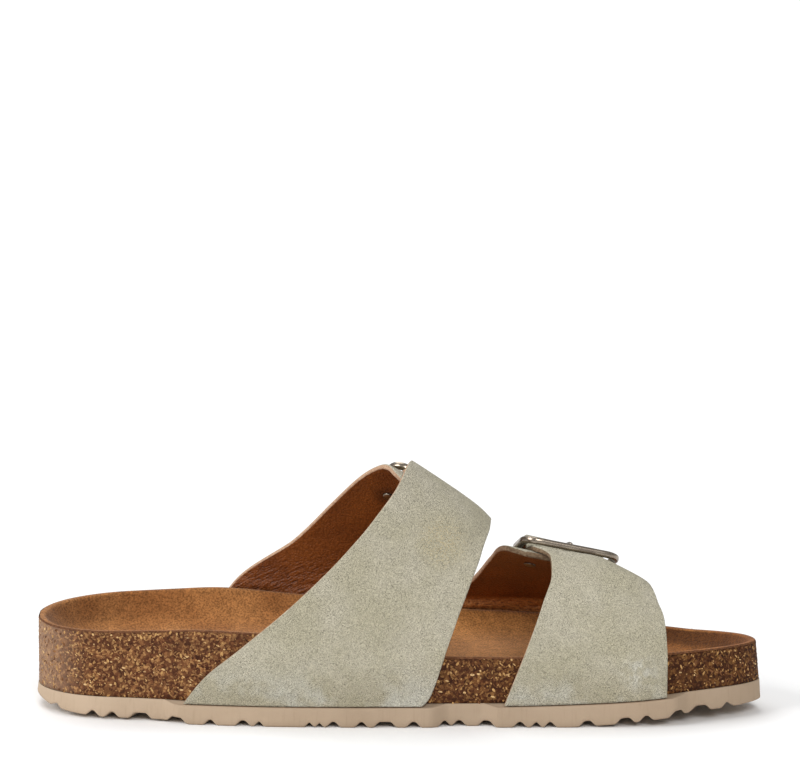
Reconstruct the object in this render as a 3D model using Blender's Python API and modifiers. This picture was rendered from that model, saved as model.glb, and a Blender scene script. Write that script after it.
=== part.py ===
"""Left slide sandal: cork footbed on a foam outsole, two buckled suede straps.

Sizes and tables are millimetres, stations run along the foot from HEEL_BACK to the
tip of the toe, and the meshes are scaled to metres. +X is the toe, +Z is up and
the medial side is -Y. The origin is under the centre of the whole sandal.
"""
import math
from collections import namedtuple
from functools import lru_cache

import bpy
import bmesh
import numpy as np

MM = 0.001
MEDIAL, LATERAL = -1, 1

# Overall sizes
HEEL_BACK, SOLE_LENGTH = -0.85, 256.6
BOX_CENTRE = (128.425, 4.595)
GAP = 0.35

# Outline of the footbed
HEEL_CAP, HEEL_POWER = 31.0, 2.1
TOE_TIP_Y = -14.0
TOE_CAP = {MEDIAL: 45.0, LATERAL: 88.0}
TOE_POWER = {MEDIAL: 1.6, LATERAL: 1.75}
STRAP_CLEAR, LEAST_SQUARE = 2.5, 0.5

# Footbed and insole
INSOLE_THICKNESS = 1.2
RIM_BAND = 2.4
CUP_POWER = 5.0
CUP_RINGS = (0.30, 0.55, 0.72, 0.84, 0.93, 1.0)
SPINE_START, SPINE_END = 28.0, 222.0
OUTLINE_STEPS = 36

# Outsole
OUTSOLE_PROUD = 0.25
OUTSOLE_FLARE = 0.4
LEDGE_WIDTH = 2.7
LEDGE_DROP = 1.1
LEDGE_RAMP = 7.0
LEDGE_PLAY = 1.2
GROOVE_DEPTH = 2.0
GROOVE_SLOPE = 1.1
GROOVE_SWAY = 3.4
SWAY_FADE = 30.0
UPSTAND_FOOT, UPSTAND_TOP = 0.1, 0.5
LEAST_COLUMN = 0.3
GROOVE_ROWS = (-1.0, -0.72, -0.38, 0.0, 0.38, 0.72, 1.0)

# Straps and their fittings
STRAP_THICKNESS = 2.0
LAP_BITE = 0.4
BAR_RADIUS = 1.3
PRONG_RADIUS = 0.8
PRONG_PLAY = 0.2
PRONG_CLEARANCE = 0.4
KEEPER_THICKNESS = 1.2
RIVET_RADIUS = 2.2
RIVET_HEIGHT = 0.6
RIVET_CROWN = 0.75
KEEPER_HALF = 12.5
KEEPER_TAB = (11.0, 7.0, 3.4)
KEEPER_LIP = 0.3
PRONG_RISE = (0.55, 0.75)
PRONG_TIP = ((5.0, -0.6), (2.3, -1.3))
NEAR_BAR_LOOSE = 1.0
NEAR_BAR_HEIGHT = 2 * STRAP_THICKNESS - LAP_BITE + NEAR_BAR_LOOSE + BAR_RADIUS
PIVOT_BAR_HEIGHT = STRAP_THICKNESS + GAP + BAR_RADIUS
PIVOT_LIFT = PIVOT_BAR_HEIGHT + BAR_RADIUS + 2 * PRONG_RADIUS + PRONG_PLAY + 2 * GAP
SAG_RAMP = 0.10

# Ramps of the medial half: where each starts before its bar or lap, and its length
LAP_START, LAP_RAMP = 16.2, 12.0
PIVOT_START, PIVOT_RAMP = 9.0, 6.0
TONGUE_START, TONGUE_RAMP = 3.5, 16.0

# Fineness of the facets
WALL_STEPS, ARCH_STEPS, WALK_STEPS, LINE_STEPS = 6, 24, 4, 6
MEDIAL_ROWS, TONGUE_ROWS, LATERAL_ROWS, STRAP_COLUMNS = 16, 18, 20, 6
CORNER_STEPS, TUBE_RESOLUTION, ROUND_STEPS = 4, 1, 12
STATION_STEP, SHARE_STEP, NORMAL_STEP = 2.0, 0.02, 0.05
WELD = 0.02

# Plain looks: colour, roughness, metal
FOAM = ((0.56, 0.45, 0.35), 0.75, 0.0)
CORK = ((0.22, 0.12, 0.06), 0.85, 0.0)
LINER = ((0.30, 0.17, 0.08), 0.95, 0.0)
SUEDE = ((0.45, 0.40, 0.31), 0.95, 0.0)
METAL = ((0.35, 0.32, 0.30), 0.30, 1.0)

SoleSection = namedtuple("SoleSection", "station medial lateral medial_rim lateral_rim bed seat tread draft")
SOLE = (
    SoleSection(0, 29.0, 32.5, 32.4, 32.8, 23.5, 8.4, 4.6, 0.1),
    SoleSection(6, 29.0, 32.5, 31.8, 33.2, 22.8, 8.4, 2.8, 0.2),
    SoleSection(14, 29.0, 32.5, 31.6, 33.6, 22.0, 8.3, 1.6, 0.3),
    SoleSection(26, 29.4, 32.5, 31.7, 34.2, 21.5, 8.3, 0.9, 0.5),
    SoleSection(46, 32.0, 33.5, 32.4, 35.0, 21.4, 8.1, 0.7, 0.6),
    SoleSection(58, 34.2, 34.8, 33.0, 35.3, 21.4, 7.9, 0.0, 0.6),
    SoleSection(90, 37.8, 38.5, 32.0, 32.2, 21.0, 7.9, 0.0, 0.6),
    SoleSection(120, 38.8, 42.5, 28.4, 28.2, 19.5, 8.0, 0.0, 0.6),
    SoleSection(150, 38.8, 46.5, 24.4, 25.0, 17.6, 8.1, 0.0, 0.6),
    SoleSection(170, 38.6, 48.0, 24.3, 23.8, 16.7, 8.3, 0.0, 0.6),
    SoleSection(186, 38.4, 48.0, 24.3, 23.2, 16.2, 8.7, 0.0, 0.7),
    SoleSection(203, 38.2, 48.0, 24.4, 22.6, 15.8, 9.4, 0.9, 0.8),
    SoleSection(220, 38.2, 48.0, 25.0, 21.9, 15.6, 10.6, 2.7, 0.9),
    SoleSection(234, 38.2, 48.0, 25.6, 22.2, 15.8, 11.6, 4.0, 1.0),
    SoleSection(246, 38.2, 48.0, 25.7, 23.6, 16.6, 11.8, 4.3, 1.1),
    SoleSection(256.6, 38.2, 48.0, 25.6, 25.6, 18.0, 11.8, 4.6, 1.2),
)

TreadGroove = namedtuple("TreadGroove", "station mouth")
TREAD = (
    TreadGroove(7.5, 3.4), TreadGroove(20.9, 4.7), TreadGroove(27.7, 5.0), TreadGroove(37.9, 8.0),
    TreadGroove(51.4, 7.4), TreadGroove(63.3, 4.6), TreadGroove(74.8, 5.4), TreadGroove(80.4, 3.6),
    TreadGroove(97.9, 3.4), TreadGroove(101.4, 3.0), TreadGroove(106.2, 5.0), TreadGroove(116.0, 4.6),
    TreadGroove(124.2, 8.0), TreadGroove(134.2, 5.2), TreadGroove(145.0, 4.4), TreadGroove(150.2, 5.0),
    TreadGroove(159.8, 6.0), TreadGroove(171.4, 4.8), TreadGroove(177.1, 3.9), TreadGroove(182.0, 4.4),
    TreadGroove(195.0, 5.8), TreadGroove(208.3, 6.6), TreadGroove(215.2, 4.6), TreadGroove(225.9, 6.2),
    TreadGroove(234.6, 7.6), TreadGroove(244.3, 4.0),
)
HEEL_COLUMNS = (HEEL_BACK, -0.4, 0.8, 2.6, 4.6, 11.5, 14.5)
TOE_COLUMNS = (240.0, 248.0, 250.6, 253.0, 255.2, SOLE_LENGTH)

# Ledges of the outsole under the ends of the straps
StrapSeat = namedtuple("StrapSeat", "side back front")
STRAP_SEATS = (
    StrapSeat(MEDIAL, 53.5, 138.6), StrapSeat(MEDIAL, 165.9, 222.8),
    StrapSeat(LATERAL, 50.0, 126.0), StrapSeat(LATERAL, 138.0, 196.0),
)

# Form that the straps are shaped over: crest of the foot and fullness of its two flanks
ArchSection = namedtuple("ArchSection", "station crest_y crest_z medial_full lateral_full")
REAR_ARCH = (
    ArchSection(50, -6.0, 126.0, 1.9, 1.4),
    ArchSection(90, -7.0, 110.0, 1.9, 1.4),
    ArchSection(120, -8.0, 93.4, 1.9, 1.4),
    ArchSection(134, -8.0, 84.5, 1.9, 1.4),
    ArchSection(150, -8.5, 73.7, 1.9, 1.4),
    ArchSection(163, -9.0, 64.2, 1.9, 1.4),
    ArchSection(180, -9.0, 53.2, 1.9, 1.4),
)
FRONT_ARCH = (
    ArchSection(120, -10.0, 67.0, 2.0, 1.2),
    ArchSection(150, -12.0, 61.3, 2.0, 1.2),
    ArchSection(168, -13.0, 57.4, 2.0, 1.2),
    ArchSection(185, -13.5, 53.9, 2.0, 1.2),
    ArchSection(202, -14.0, 50.4, 2.0, 1.2),
    ArchSection(211, -14.2, 47.4, 2.0, 1.2),
    ArchSection(218, -14.3, 44.2, 2.0, 1.2),
    ArchSection(232, -14.5, 38.0, 2.0, 1.2),
)

# Strap halves: share of the girth from the medial seat to the lateral one, and both edges
StrapRow = namedtuple("StrapRow", "share back front")
REAR_MEDIAL = (
    StrapRow(0.00, 53.5, 137.2),
    StrapRow(0.012, 55.6, 139.4),
    StrapRow(0.04, 61.5, 141.7),
    StrapRow(0.08, 73.0, 144.1),
    StrapRow(0.16, 93.2, 148.7),
    StrapRow(0.24, 108.7, 153.5),
    StrapRow(0.32, 120.3, 157.7),
    StrapRow(0.40, 128.2, 159.8),
    StrapRow(0.48, 131.6, 160.4),
)
REAR_LATERAL = (
    StrapRow(0.42, 140.0, 152.0),
    StrapRow(0.44, 134.4, 157.0),
    StrapRow(0.48, 129.6, 157.8),
    StrapRow(0.52, 126.4, 158.0),
    StrapRow(0.60, 117.6, 155.0),
    StrapRow(0.72, 103.4, 149.0),
    StrapRow(0.80, 90.5, 143.5),
    StrapRow(0.88, 67.7, 137.0),
    StrapRow(1.00, 50.0, 126.0),
)
FRONT_MEDIAL = (
    StrapRow(0.00, 165.9, 222.8),
    StrapRow(0.12, 173.0, 222.9),
    StrapRow(0.24, 179.4, 221.9),
    StrapRow(0.32, 182.6, 219.3),
    StrapRow(0.37, 182.2, 216.7),
)
FRONT_LATERAL = (
    StrapRow(0.40, 174.0, 203.0),
    StrapRow(0.413, 169.6, 206.5),
    StrapRow(0.44, 166.0, 208.0),
    StrapRow(0.60, 161.9, 205.0),
    StrapRow(0.76, 156.6, 201.0),
    StrapRow(0.86, 148.0, 198.5),
    StrapRow(1.00, 138.0, 196.0),
)

# One buckled strap: its form and halves, its buckle's share of the girth, station, heading and rivets,
# then how far the back corner of its lateral half sags under the lap, and from which share
Band = namedtuple("Band", ("name", "arch", "medial", "lateral", "near_bar", "middle", "heading",
                           "rivet_along", "rivet_across", "sag", "sag_share"))
BANDS = (
    Band("rear", REAR_ARCH, REAR_MEDIAL, REAR_LATERAL, 0.575, 140.4, -0.40, 13.2, 11.5, 4.5, 0.57),
    Band("front", FRONT_ARCH, FRONT_MEDIAL, FRONT_LATERAL, 0.430, 189.9, -0.17, 20.0, 10.0, 0.0, 0.44),
)
FRAME_WIDTH, FRAME_DEPTH, FRAME_CORNER = 36.5, 19.0, 4.5
TONGUE_HALF, TONGUE_LENGTH, TONGUE_TIP, TONGUE_BLUNT = 14.4, 47.0, 13.0, 0.35


@lru_cache(maxsize=None)
def slopes(rows):
    """Columns of a table and slopes of the monotone curves through them."""
    table = np.array(rows, float)
    at = table[:, 0]
    run = np.diff(at)
    rise = np.diff(table, axis=0) / run[:, None]
    slope = np.zeros_like(table)
    slope[0], slope[-1] = rise[0], rise[-1]
    for i in range(1, len(at) - 1):
        before, after = rise[i - 1], rise[i]
        same = before * after > 0
        one, two = 2 * run[i] + run[i - 1], run[i] + 2 * run[i - 1]
        with np.errstate(divide="ignore", invalid="ignore"):
            mean = (one + two) / (one / before + two / after)
        slope[i] = np.where(same, mean, 0.0)
    return at, table, slope


def read(rows, at):
    """Row of a table anywhere between its rows."""
    stops, table, slope = slopes(rows)
    at = min(max(at, stops[0]), stops[-1])
    i = min(int(np.searchsorted(stops, at, side="right")) - 1, len(stops) - 2)
    wide = stops[i + 1] - stops[i]
    u = (at - stops[i]) / wide
    value = ((1 + 2 * u) * (1 - u) ** 2 * table[i] + u * (1 - u) ** 2 * wide * slope[i]
             + u * u * (3 - 2 * u) * table[i + 1] + u * u * (u - 1) * wide * slope[i + 1])
    return type(rows[0])(*value)


def ease(value):
    value = min(max(value, 0.0), 1.0)
    return value * value * (3 - 2 * value)


def cap(reach, length, power):
    """Share of the breadth that is left at a distance into a rounded end."""
    if reach <= 0:
        return 1.0
    return max(0.0, 1 - (reach / length) ** power) ** (1 / power)


def edge_y(station, side):
    """Side of the footbed's outline at a station."""
    row = read(SOLE, station)
    full = -row.medial if side == MEDIAL else row.lateral
    heel = cap(HEEL_CAP - station, HEEL_CAP - HEEL_BACK, HEEL_POWER)
    toe = cap(station - (SOLE_LENGTH - TOE_CAP[side]), TOE_CAP[side], TOE_POWER[side])
    return TOE_TIP_Y + (full * heel - TOE_TIP_Y) * toe


def edge_normal(station, side):
    """Outward direction of the outline in plan."""
    if station <= HEEL_BACK or station >= SOLE_LENGTH:
        return np.array([-1.0 if station <= HEEL_BACK else 1.0, 0.0])
    step = min(NORMAL_STEP, (station - HEEL_BACK) / 2, (SOLE_LENGTH - station) / 2)
    fall = (edge_y(station + step, side) - edge_y(station - step, side)) / (2 * step)
    normal = np.array([-fall, 1.0]) * side
    return normal / np.linalg.norm(normal)


def edge_point(station, side, offset):
    """Point of the outline, moved outward."""
    return np.array([station, edge_y(station, side)]) + edge_normal(station, side) * offset


def ledge(station, side):
    """How far the outsole stands out under a strap end, from 0 to 1."""
    share = 0.0
    for seat in STRAP_SEATS:
        if seat.side == side:
            into = min(station - seat.back, seat.front - station) + LEDGE_PLAY
            share = max(share, ease(1 + into / LEDGE_RAMP))
    return share


def outline_places():
    """Stations and sides of the outline, once round from the heel."""
    shares = [(1 - math.cos(math.pi * i / OUTLINE_STEPS)) / 2 for i in range(OUTLINE_STEPS + 1)]
    stations = [HEEL_BACK + (SOLE_LENGTH - HEEL_BACK) * share for share in shares]
    there = [(station, MEDIAL) for station in stations]
    back = [(station, LATERAL) for station in reversed(stations[1:-1])]
    return there + back


def spine_point(station):
    at = min(max(station, SPINE_START), SPINE_END)
    return np.array([at, (edge_y(at, MEDIAL) + edge_y(at, LATERAL)) / 2])


def rim_height(station, side):
    row = read(SOLE, station)
    return row.medial_rim if side == MEDIAL else row.lateral_rim


def bed_ring(share, drop):
    """One ring of the cup, a share of the way from its spine to the inner lip of its rim."""
    ring = []
    for station, side in outline_places():
        spine = spine_point(station)
        reach = edge_point(station, side, 0.0) - spine
        x, y = spine + share * (1 - RIM_BAND / np.linalg.norm(reach)) * reach
        bed = read(SOLE, x).bed
        ring.append((x, y, bed + (rim_height(station, side) - bed) * share ** CUP_POWER - drop))
    return ring


def rim_ring(drop):
    """Outer edge of the flat rim round the cup."""
    return [(*edge_point(station, side, 0.0), rim_height(station, side) - drop)
            for station, side in outline_places()]


def scaled(points):
    """Points of the shoe's own frame in metres about the origin of the part."""
    return [((x - BOX_CENTRE[0]) * MM, (y - BOX_CENTRE[1]) * MM, z * MM) for x, y, z in points]


def across_ring(base, count):
    """Faces that close a ring, from its medial to its lateral points."""
    half = count // 2
    faces = [(base, base + 1, base + count - 1)]
    for i in range(1, half - 1):
        faces.append((base + i, base + i + 1, base + count - i - 1, base + count - i))
    faces.append((base + half - 1, base + half, base + half + 1))
    return faces


def skin_rings(rings):
    """Closed solid through rings of equal count, closed across the first and last."""
    count = len(rings[0])
    points = [point for ring in rings for point in ring]
    faces = across_ring(0, count) + across_ring((len(rings) - 1) * count, count)
    for k in range(len(rings) - 1):
        for i in range(count):
            j = (i + 1) % count
            faces.append((k * count + i, k * count + j, (k + 1) * count + j, (k + 1) * count + i))
    return points, faces


def add_object(name, mesh, collection, colour, rough, metal):
    thing = bpy.data.objects.new(name, mesh)
    collection.objects.link(thing)
    material = bpy.data.materials.new(name)
    material.use_nodes = True
    shader = material.node_tree.nodes["Principled BSDF"]
    shader.inputs["Base Color"].default_value = (*colour, 1.0)
    shader.inputs["Roughness"].default_value = rough
    shader.inputs["Metallic"].default_value = metal
    mesh.materials.append(material)
    return thing


def make_mesh(name, points, faces):
    """Mesh in metres with its faces turned outward."""
    mesh = bpy.data.meshes.new(name)
    mesh.from_pydata(scaled(points), [], faces)
    work = bmesh.new()
    work.from_mesh(mesh)
    bmesh.ops.remove_doubles(work, verts=work.verts, dist=WELD * MM)
    bmesh.ops.recalc_face_normals(work, faces=work.faces)
    work.to_mesh(mesh)
    work.free()
    return mesh


def footbed_mesh():
    drop = INSOLE_THICKNESS + GAP
    rings = [bed_ring(share, drop) for share in CUP_RINGS] + [rim_ring(drop)]
    foot = []
    for station, side in outline_places():
        row = read(SOLE, station)
        foot.append((*edge_point(station, side, row.draft), row.seat + GAP))
    return make_mesh("footbed", *skin_rings(rings + [foot]))


def insole_mesh():
    top = [bed_ring(share, 0.0) for share in CUP_RINGS] + [rim_ring(0.0)]
    under = [bed_ring(share, INSOLE_THICKNESS) for share in CUP_RINGS] + [rim_ring(INSOLE_THICKNESS)]
    return make_mesh("insole", *skin_rings(top + under[::-1]))


def groove_depth(station):
    """Depth of the tread's grooves: sloping flanks, and a flat floor where there is room for one."""
    into = max(groove.mouth / 2 - abs(station - groove.station) for groove in TREAD)
    return min(max(into, 0.0) * GROOVE_SLOPE, GROOVE_DEPTH)


def outsole_columns():
    """Stations of the outsole's columns: rounded ends, corners of the grooves and ends of the ledges."""
    columns = list(HEEL_COLUMNS + TOE_COLUMNS)
    for groove in TREAD:
        half = groove.mouth / 2
        floor = max(half - GROOVE_DEPTH / GROOVE_SLOPE, 0.0)
        columns += [groove.station + reach for reach in (-half, -floor, floor, half)]
    for seat in STRAP_SEATS:
        columns += [seat.back - LEDGE_PLAY, seat.front + LEDGE_PLAY]
    columns.sort()
    return [at for at, after in zip(columns, columns[1:]) if after - at > LEAST_COLUMN] + columns[-1:]


def outsole_section(station):
    """Closed section: tread from medial to lateral, then back over the top."""
    depth = groove_depth(station)
    fade = ease(station / SWAY_FADE) * ease((SOLE_LENGTH - station) / SWAY_FADE)
    row = read(SOLE, station)
    proud = row.draft + OUTSOLE_PROUD
    offset = {side: proud + LEDGE_WIDTH * ledge(station, side) for side in (MEDIAL, LATERAL)}
    low = {side: edge_point(station, side, offset[side] + OUTSOLE_FLARE) for side in offset}
    points = []
    for i, t in enumerate(GROOVE_ROWS):
        sway = 0.0 if abs(t) == 1 else GROOVE_SWAY * fade * (1 if i % 2 else -1)
        x, y = low[MEDIAL] + (low[LATERAL] - low[MEDIAL]) * (t + 1) / 2
        points.append((x + sway, y, read(SOLE, station + sway).tread + depth))
    for side in (LATERAL, MEDIAL):
        shelf = row.seat - LEDGE_DROP * ledge(station, side)
        steps = [(offset[side], shelf), (row.draft + UPSTAND_FOOT, shelf)]
        steps.append((row.draft - UPSTAND_TOP, row.seat))
        if side == MEDIAL:
            steps.reverse()
        for out, height in steps:
            points.append((*edge_point(station, side, out), height))
    return points


def outsole_mesh():
    sections = [outsole_section(station) for station in outsole_columns()]
    count = len(sections[0])
    points = [point for section in sections for point in section]
    faces = []
    for k in range(len(sections) - 1):
        for i in range(count):
            j = (i + 1) % count
            faces.append((k * count + i, k * count + j, (k + 1) * count + j, (k + 1) * count + i))
    return make_mesh("outsole", points, faces)


@lru_cache(maxsize=None)
def arch_path(arch, station):
    """Inner face of a strap across one station, with shares of its girth."""
    form, row = read(arch, station), read(SOLE, station)
    seat = row.seat - LEDGE_DROP + GAP
    halves = []
    flanks = ((MEDIAL, row.medial_rim, form.medial_full), (LATERAL, row.lateral_rim, form.lateral_full))
    for side, rim, full in flanks:
        lean = 1 / max(abs(edge_normal(station, side)[1]), LEAST_SQUARE)
        edge = edge_y(station, side)
        top = rim + STRAP_CLEAR
        half = []
        for k in range(WALL_STEPS):
            up = k / WALL_STEPS
            half.append((edge + side * lean * (GAP + row.draft * (1 - up)), seat + (top - seat) * up))
        reach = edge + side * lean * GAP - form.crest_y
        for k in range(ARCH_STEPS + 1):
            angle = math.pi / 2 * k / ARCH_STEPS
            half.append((form.crest_y + reach * max(math.cos(angle), 0.0) ** (2 / full),
                         top + (form.crest_z - top) * math.sin(angle) ** (2 / full)))
        halves.append(half)
    path = np.array(halves[0] + halves[1][-2::-1])
    run = np.concatenate([[0.0], np.cumsum(np.linalg.norm(np.diff(path, axis=0), axis=1))])
    return path, run / run[-1], run[-1]


def on_form(arch, place):
    """Point of the form at a station and a share of the girth."""
    path, shares, _ = arch_path(arch, round(float(place[0]), 4))
    y, z = (np.interp(place[1], shares, path[:, axis]) for axis in (0, 1))
    return np.array([place[0], y, z])


def tangents(arch, place):
    """Directions along the foot and round it, for one step of station and of share."""
    along, share = np.array([STATION_STEP, 0.0]), np.array([0.0, SHARE_STEP])
    place = np.array([place[0], min(max(place[1], SHARE_STEP), 1 - SHARE_STEP)])
    forward = (on_form(arch, place + along) - on_form(arch, place - along)) / (2 * STATION_STEP)
    around = (on_form(arch, place + share) - on_form(arch, place - share)) / (2 * SHARE_STEP)
    return forward, around


def off_form(arch, place, height):
    """Point at a height over the form."""
    forward, around = tangents(arch, place)
    normal = np.cross(forward, around)
    return on_form(arch, place) + normal / np.linalg.norm(normal) * height


def walk(arch, place, direction, distance):
    """Place that is reached by going straight over the form."""
    place = np.array(place, float)
    stride = direction * distance / WALK_STEPS
    for _ in range(WALK_STEPS):
        forward, around = tangents(arch, place)
        step = np.linalg.lstsq(np.stack((forward, around), 1), stride, rcond=None)[0]
        went = np.linalg.norm(forward * step[0] + around * step[1])
        place = place + step * (abs(distance) / WALK_STEPS / went if went > 1e-9 else 0.0)
    return place


class Fitting:
    """Local places of one buckle: a across the strap, b along it from the near bar."""

    def __init__(self, band):
        self.arch = band.arch
        self.start = np.array([band.middle, band.near_bar])
        forward, around = tangents(self.arch, self.start)
        self.along = around / np.linalg.norm(around) + forward / np.linalg.norm(forward) * band.heading
        self.along /= np.linalg.norm(self.along)
        normal = np.cross(forward, around)
        self.across = np.cross(self.along, normal / np.linalg.norm(normal))
        self.girth = arch_path(self.arch, band.middle)[2]

    def heading(self, place):
        """Strap direction carried round the form to a place."""
        forward, around = tangents(self.arch, place)
        normal = np.cross(forward, around)
        ahead = np.cross(normal / np.linalg.norm(normal), self.across)
        return ahead / np.linalg.norm(ahead)

    def line(self, b):
        """Place on the middle line of the strap."""
        place = self.start.copy()
        for _ in range(LINE_STEPS):
            place = walk(self.arch, place, self.heading(place), b / LINE_STEPS)
        return place

    def place(self, a, b):
        middle = self.line(b)
        return walk(self.arch, middle, self.across, a) if a else middle

    def point(self, a, b, height):
        return off_form(self.arch, self.place(a, b), height)

    def bar_point(self, a, b, height):
        """Point on a line that goes straight across the strap, at a height over its middle."""
        middle = self.line(b)
        forward, around = tangents(self.arch, middle)
        normal = np.cross(forward, around)
        normal /= np.linalg.norm(normal)
        across = self.across - normal * np.dot(normal, self.across)
        return on_form(self.arch, middle) + normal * height + across / np.linalg.norm(across) * a


def lap_lift(b, lap):
    """Height of the medial half over the form: over the lateral half, then over the pivot bar."""
    lapped = STRAP_THICKNESS - LAP_BITE
    lift = lapped * ease((b - lap + LAP_START) / LAP_RAMP)
    if b <= FRAME_DEPTH:
        return lift + (PIVOT_LIFT - lapped) * ease((b - FRAME_DEPTH + PIVOT_START) / PIVOT_RAMP)
    loose = STRAP_THICKNESS + GAP
    return PIVOT_LIFT + (loose - PIVOT_LIFT) * ease((b - FRAME_DEPTH - TONGUE_START) / TONGUE_RAMP)


def sheet_faces(rows, columns):
    return [(r * columns + c, r * columns + c + 1, (r + 1) * columns + c + 1, (r + 1) * columns + c)
            for r in range(rows - 1) for c in range(columns - 1)]


def medial_sheet(band, fitting):
    """Inner face of the medial half, from the sole to the tip of its tongue."""
    lap = (band.lateral[0].share - band.near_bar) * fitting.girth
    points = []
    end = band.medial[-1].share
    for r in range(MEDIAL_ROWS + 1):
        share = end * r / MEDIAL_ROWS
        row = read(band.medial, share)
        height = lap_lift((share - band.near_bar) * fitting.girth, lap)
        for c in range(STRAP_COLUMNS + 1):
            place = (row.back + (row.front - row.back) * c / STRAP_COLUMNS, share)
            points.append(off_form(band.arch, place, height))
    for r in range(TONGUE_ROWS + 1):
        b = TONGUE_LENGTH * r / TONGUE_ROWS
        half = TONGUE_HALF * max(cap(b - TONGUE_LENGTH + TONGUE_TIP, TONGUE_TIP, 2.0), TONGUE_BLUNT)
        for c in range(STRAP_COLUMNS + 1):
            points.append(fitting.point(half * (2 * c / STRAP_COLUMNS - 1), b, lap_lift(b, lap)))
    rows = MEDIAL_ROWS + TONGUE_ROWS + 2
    return points, sheet_faces(rows, STRAP_COLUMNS + 1)


def lateral_sheet(band):
    """Inner face of the lateral half, from its end under the lap to the sole."""
    start = band.lateral[0].share
    points = []
    for r in range(LATERAL_ROWS + 1):
        share = start + (1 - start) * r / LATERAL_ROWS
        row = read(band.lateral, share)
        sag = band.sag * ease((band.sag_share - share) / SAG_RAMP)
        for c in range(STRAP_COLUMNS + 1):
            across = c / STRAP_COLUMNS
            place = (row.back + (row.front - row.back) * across, share)
            points.append(off_form(band.arch, place, -sag * (1 - across) ** 2))
    return points, sheet_faces(LATERAL_ROWS + 1, STRAP_COLUMNS + 1)


def open_mesh(name, points, faces):
    mesh = bpy.data.meshes.new(name)
    mesh.from_pydata(scaled(points), [], faces)
    return mesh


def thicken(thing, thickness, side):
    shell = thing.modifiers.new("wall", "SOLIDIFY")
    shell.thickness = thickness * MM
    shell.offset = side
    shell.use_even_offset = True
    shell.use_quality_normals = True


def join(thing, other, operation):
    """Boolean with a helper body."""
    step = thing.modifiers.new(operation.lower(), "BOOLEAN")
    step.operation = operation
    step.solver = "EXACT"
    step.object = other


def add_tube(name, points, radius, closed, collection, look):
    """Round bar along a path."""
    curve = bpy.data.curves.new(name, "CURVE")
    curve.dimensions = "3D"
    curve.bevel_depth = radius * MM
    curve.bevel_resolution = TUBE_RESOLUTION
    curve.use_fill_caps = not closed
    spline = curve.splines.new("POLY")
    spline.points.add(len(points) - 1)
    for knot, point in zip(spline.points, scaled(points)):
        knot.co = (*point, 1.0)
    spline.use_cyclic_u = closed
    return add_object(name, curve, collection, *look)


def tube_body(name, points, radius, collection):
    """Closed mesh of a round bar, for cutting its room out of the leather."""
    tube = add_tube(name, points, radius, False, collection, METAL)
    graph = bpy.context.evaluated_depsgraph_get()
    mesh = bpy.data.meshes.new_from_object(tube.evaluated_get(graph), depsgraph=graph)
    work = bmesh.new()
    work.from_mesh(mesh)
    bmesh.ops.remove_doubles(work, verts=work.verts, dist=WELD * MM)
    work.to_mesh(mesh)
    work.free()
    body = bpy.data.objects.new(f"{name}_room", mesh)
    collection.objects.link(body)
    body.matrix_world = tube.matrix_world
    bpy.data.objects.remove(tube, do_unlink=True)
    return body


def frame_path(fitting):
    """Middle line of the rounded ring, the near bar over the strap and the pivot bar under it."""
    half = FRAME_WIDTH / 2 - BAR_RADIUS
    points = []
    corners = ((half, 0.0, -90), (half, FRAME_DEPTH, 0), (-half, FRAME_DEPTH, 90), (-half, 0.0, 180))
    for a, b, turn in corners:
        a_mid = a - math.copysign(FRAME_CORNER, a)
        b_mid = b + (FRAME_CORNER if b == 0 else -FRAME_CORNER)
        for k in range(CORNER_STEPS + 1):
            angle = math.radians(turn + 90 * k / CORNER_STEPS)
            points.append((a_mid + FRAME_CORNER * math.cos(angle), b_mid + FRAME_CORNER * math.sin(angle)))
        if turn in (0, 180):
            points += [(a_mid * (1 - k / 2), b) for k in (1, 2, 3)]
    heights = [NEAR_BAR_HEIGHT + (PIVOT_BAR_HEIGHT - NEAR_BAR_HEIGHT) * b / FRAME_DEPTH for _, b in points]
    return [fitting.bar_point(a, b, height) for (a, b), height in zip(points, heights)]


def prong_path(fitting):
    """Hook over the pivot bar, through the strap, to the tip on the near bar."""
    hook = BAR_RADIUS + PRONG_PLAY + PRONG_RADIUS
    path = []
    for turn in (150, 120, 90, 60):
        angle = math.radians(turn)
        path.append((FRAME_DEPTH - hook * math.cos(angle), PIVOT_BAR_HEIGHT + hook * math.sin(angle)))
    path.append((FRAME_DEPTH * PRONG_RISE[0], NEAR_BAR_HEIGHT + hook * PRONG_RISE[1]))
    path += [(b, NEAR_BAR_HEIGHT + hook + rise) for b, rise in PRONG_TIP]
    return [fitting.point(0.0, b, height) for b, height in path]


def keeper_sheet(fitting):
    """Inner face of the leather loop over the pivot bar."""
    floor = STRAP_THICKNESS + GAP
    hug = BAR_RADIUS + GAP
    profile = [(FRAME_DEPTH + reach, floor) for reach in KEEPER_TAB]
    for turn in (150, 120, 90, 60, 30, 0):
        angle = math.radians(turn)
        profile.append((FRAME_DEPTH - hug * math.cos(angle), PIVOT_BAR_HEIGHT + hug * math.sin(angle)))
    profile.append((FRAME_DEPTH - hug, floor + KEEPER_LIP))
    profile.reverse()
    across = (-KEEPER_HALF, -KEEPER_HALF / 3, KEEPER_HALF / 3, KEEPER_HALF)
    points = [fitting.bar_point(a, b, height) for b, height in profile for a in across]
    return points, sheet_faces(len(profile), len(across))


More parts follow.
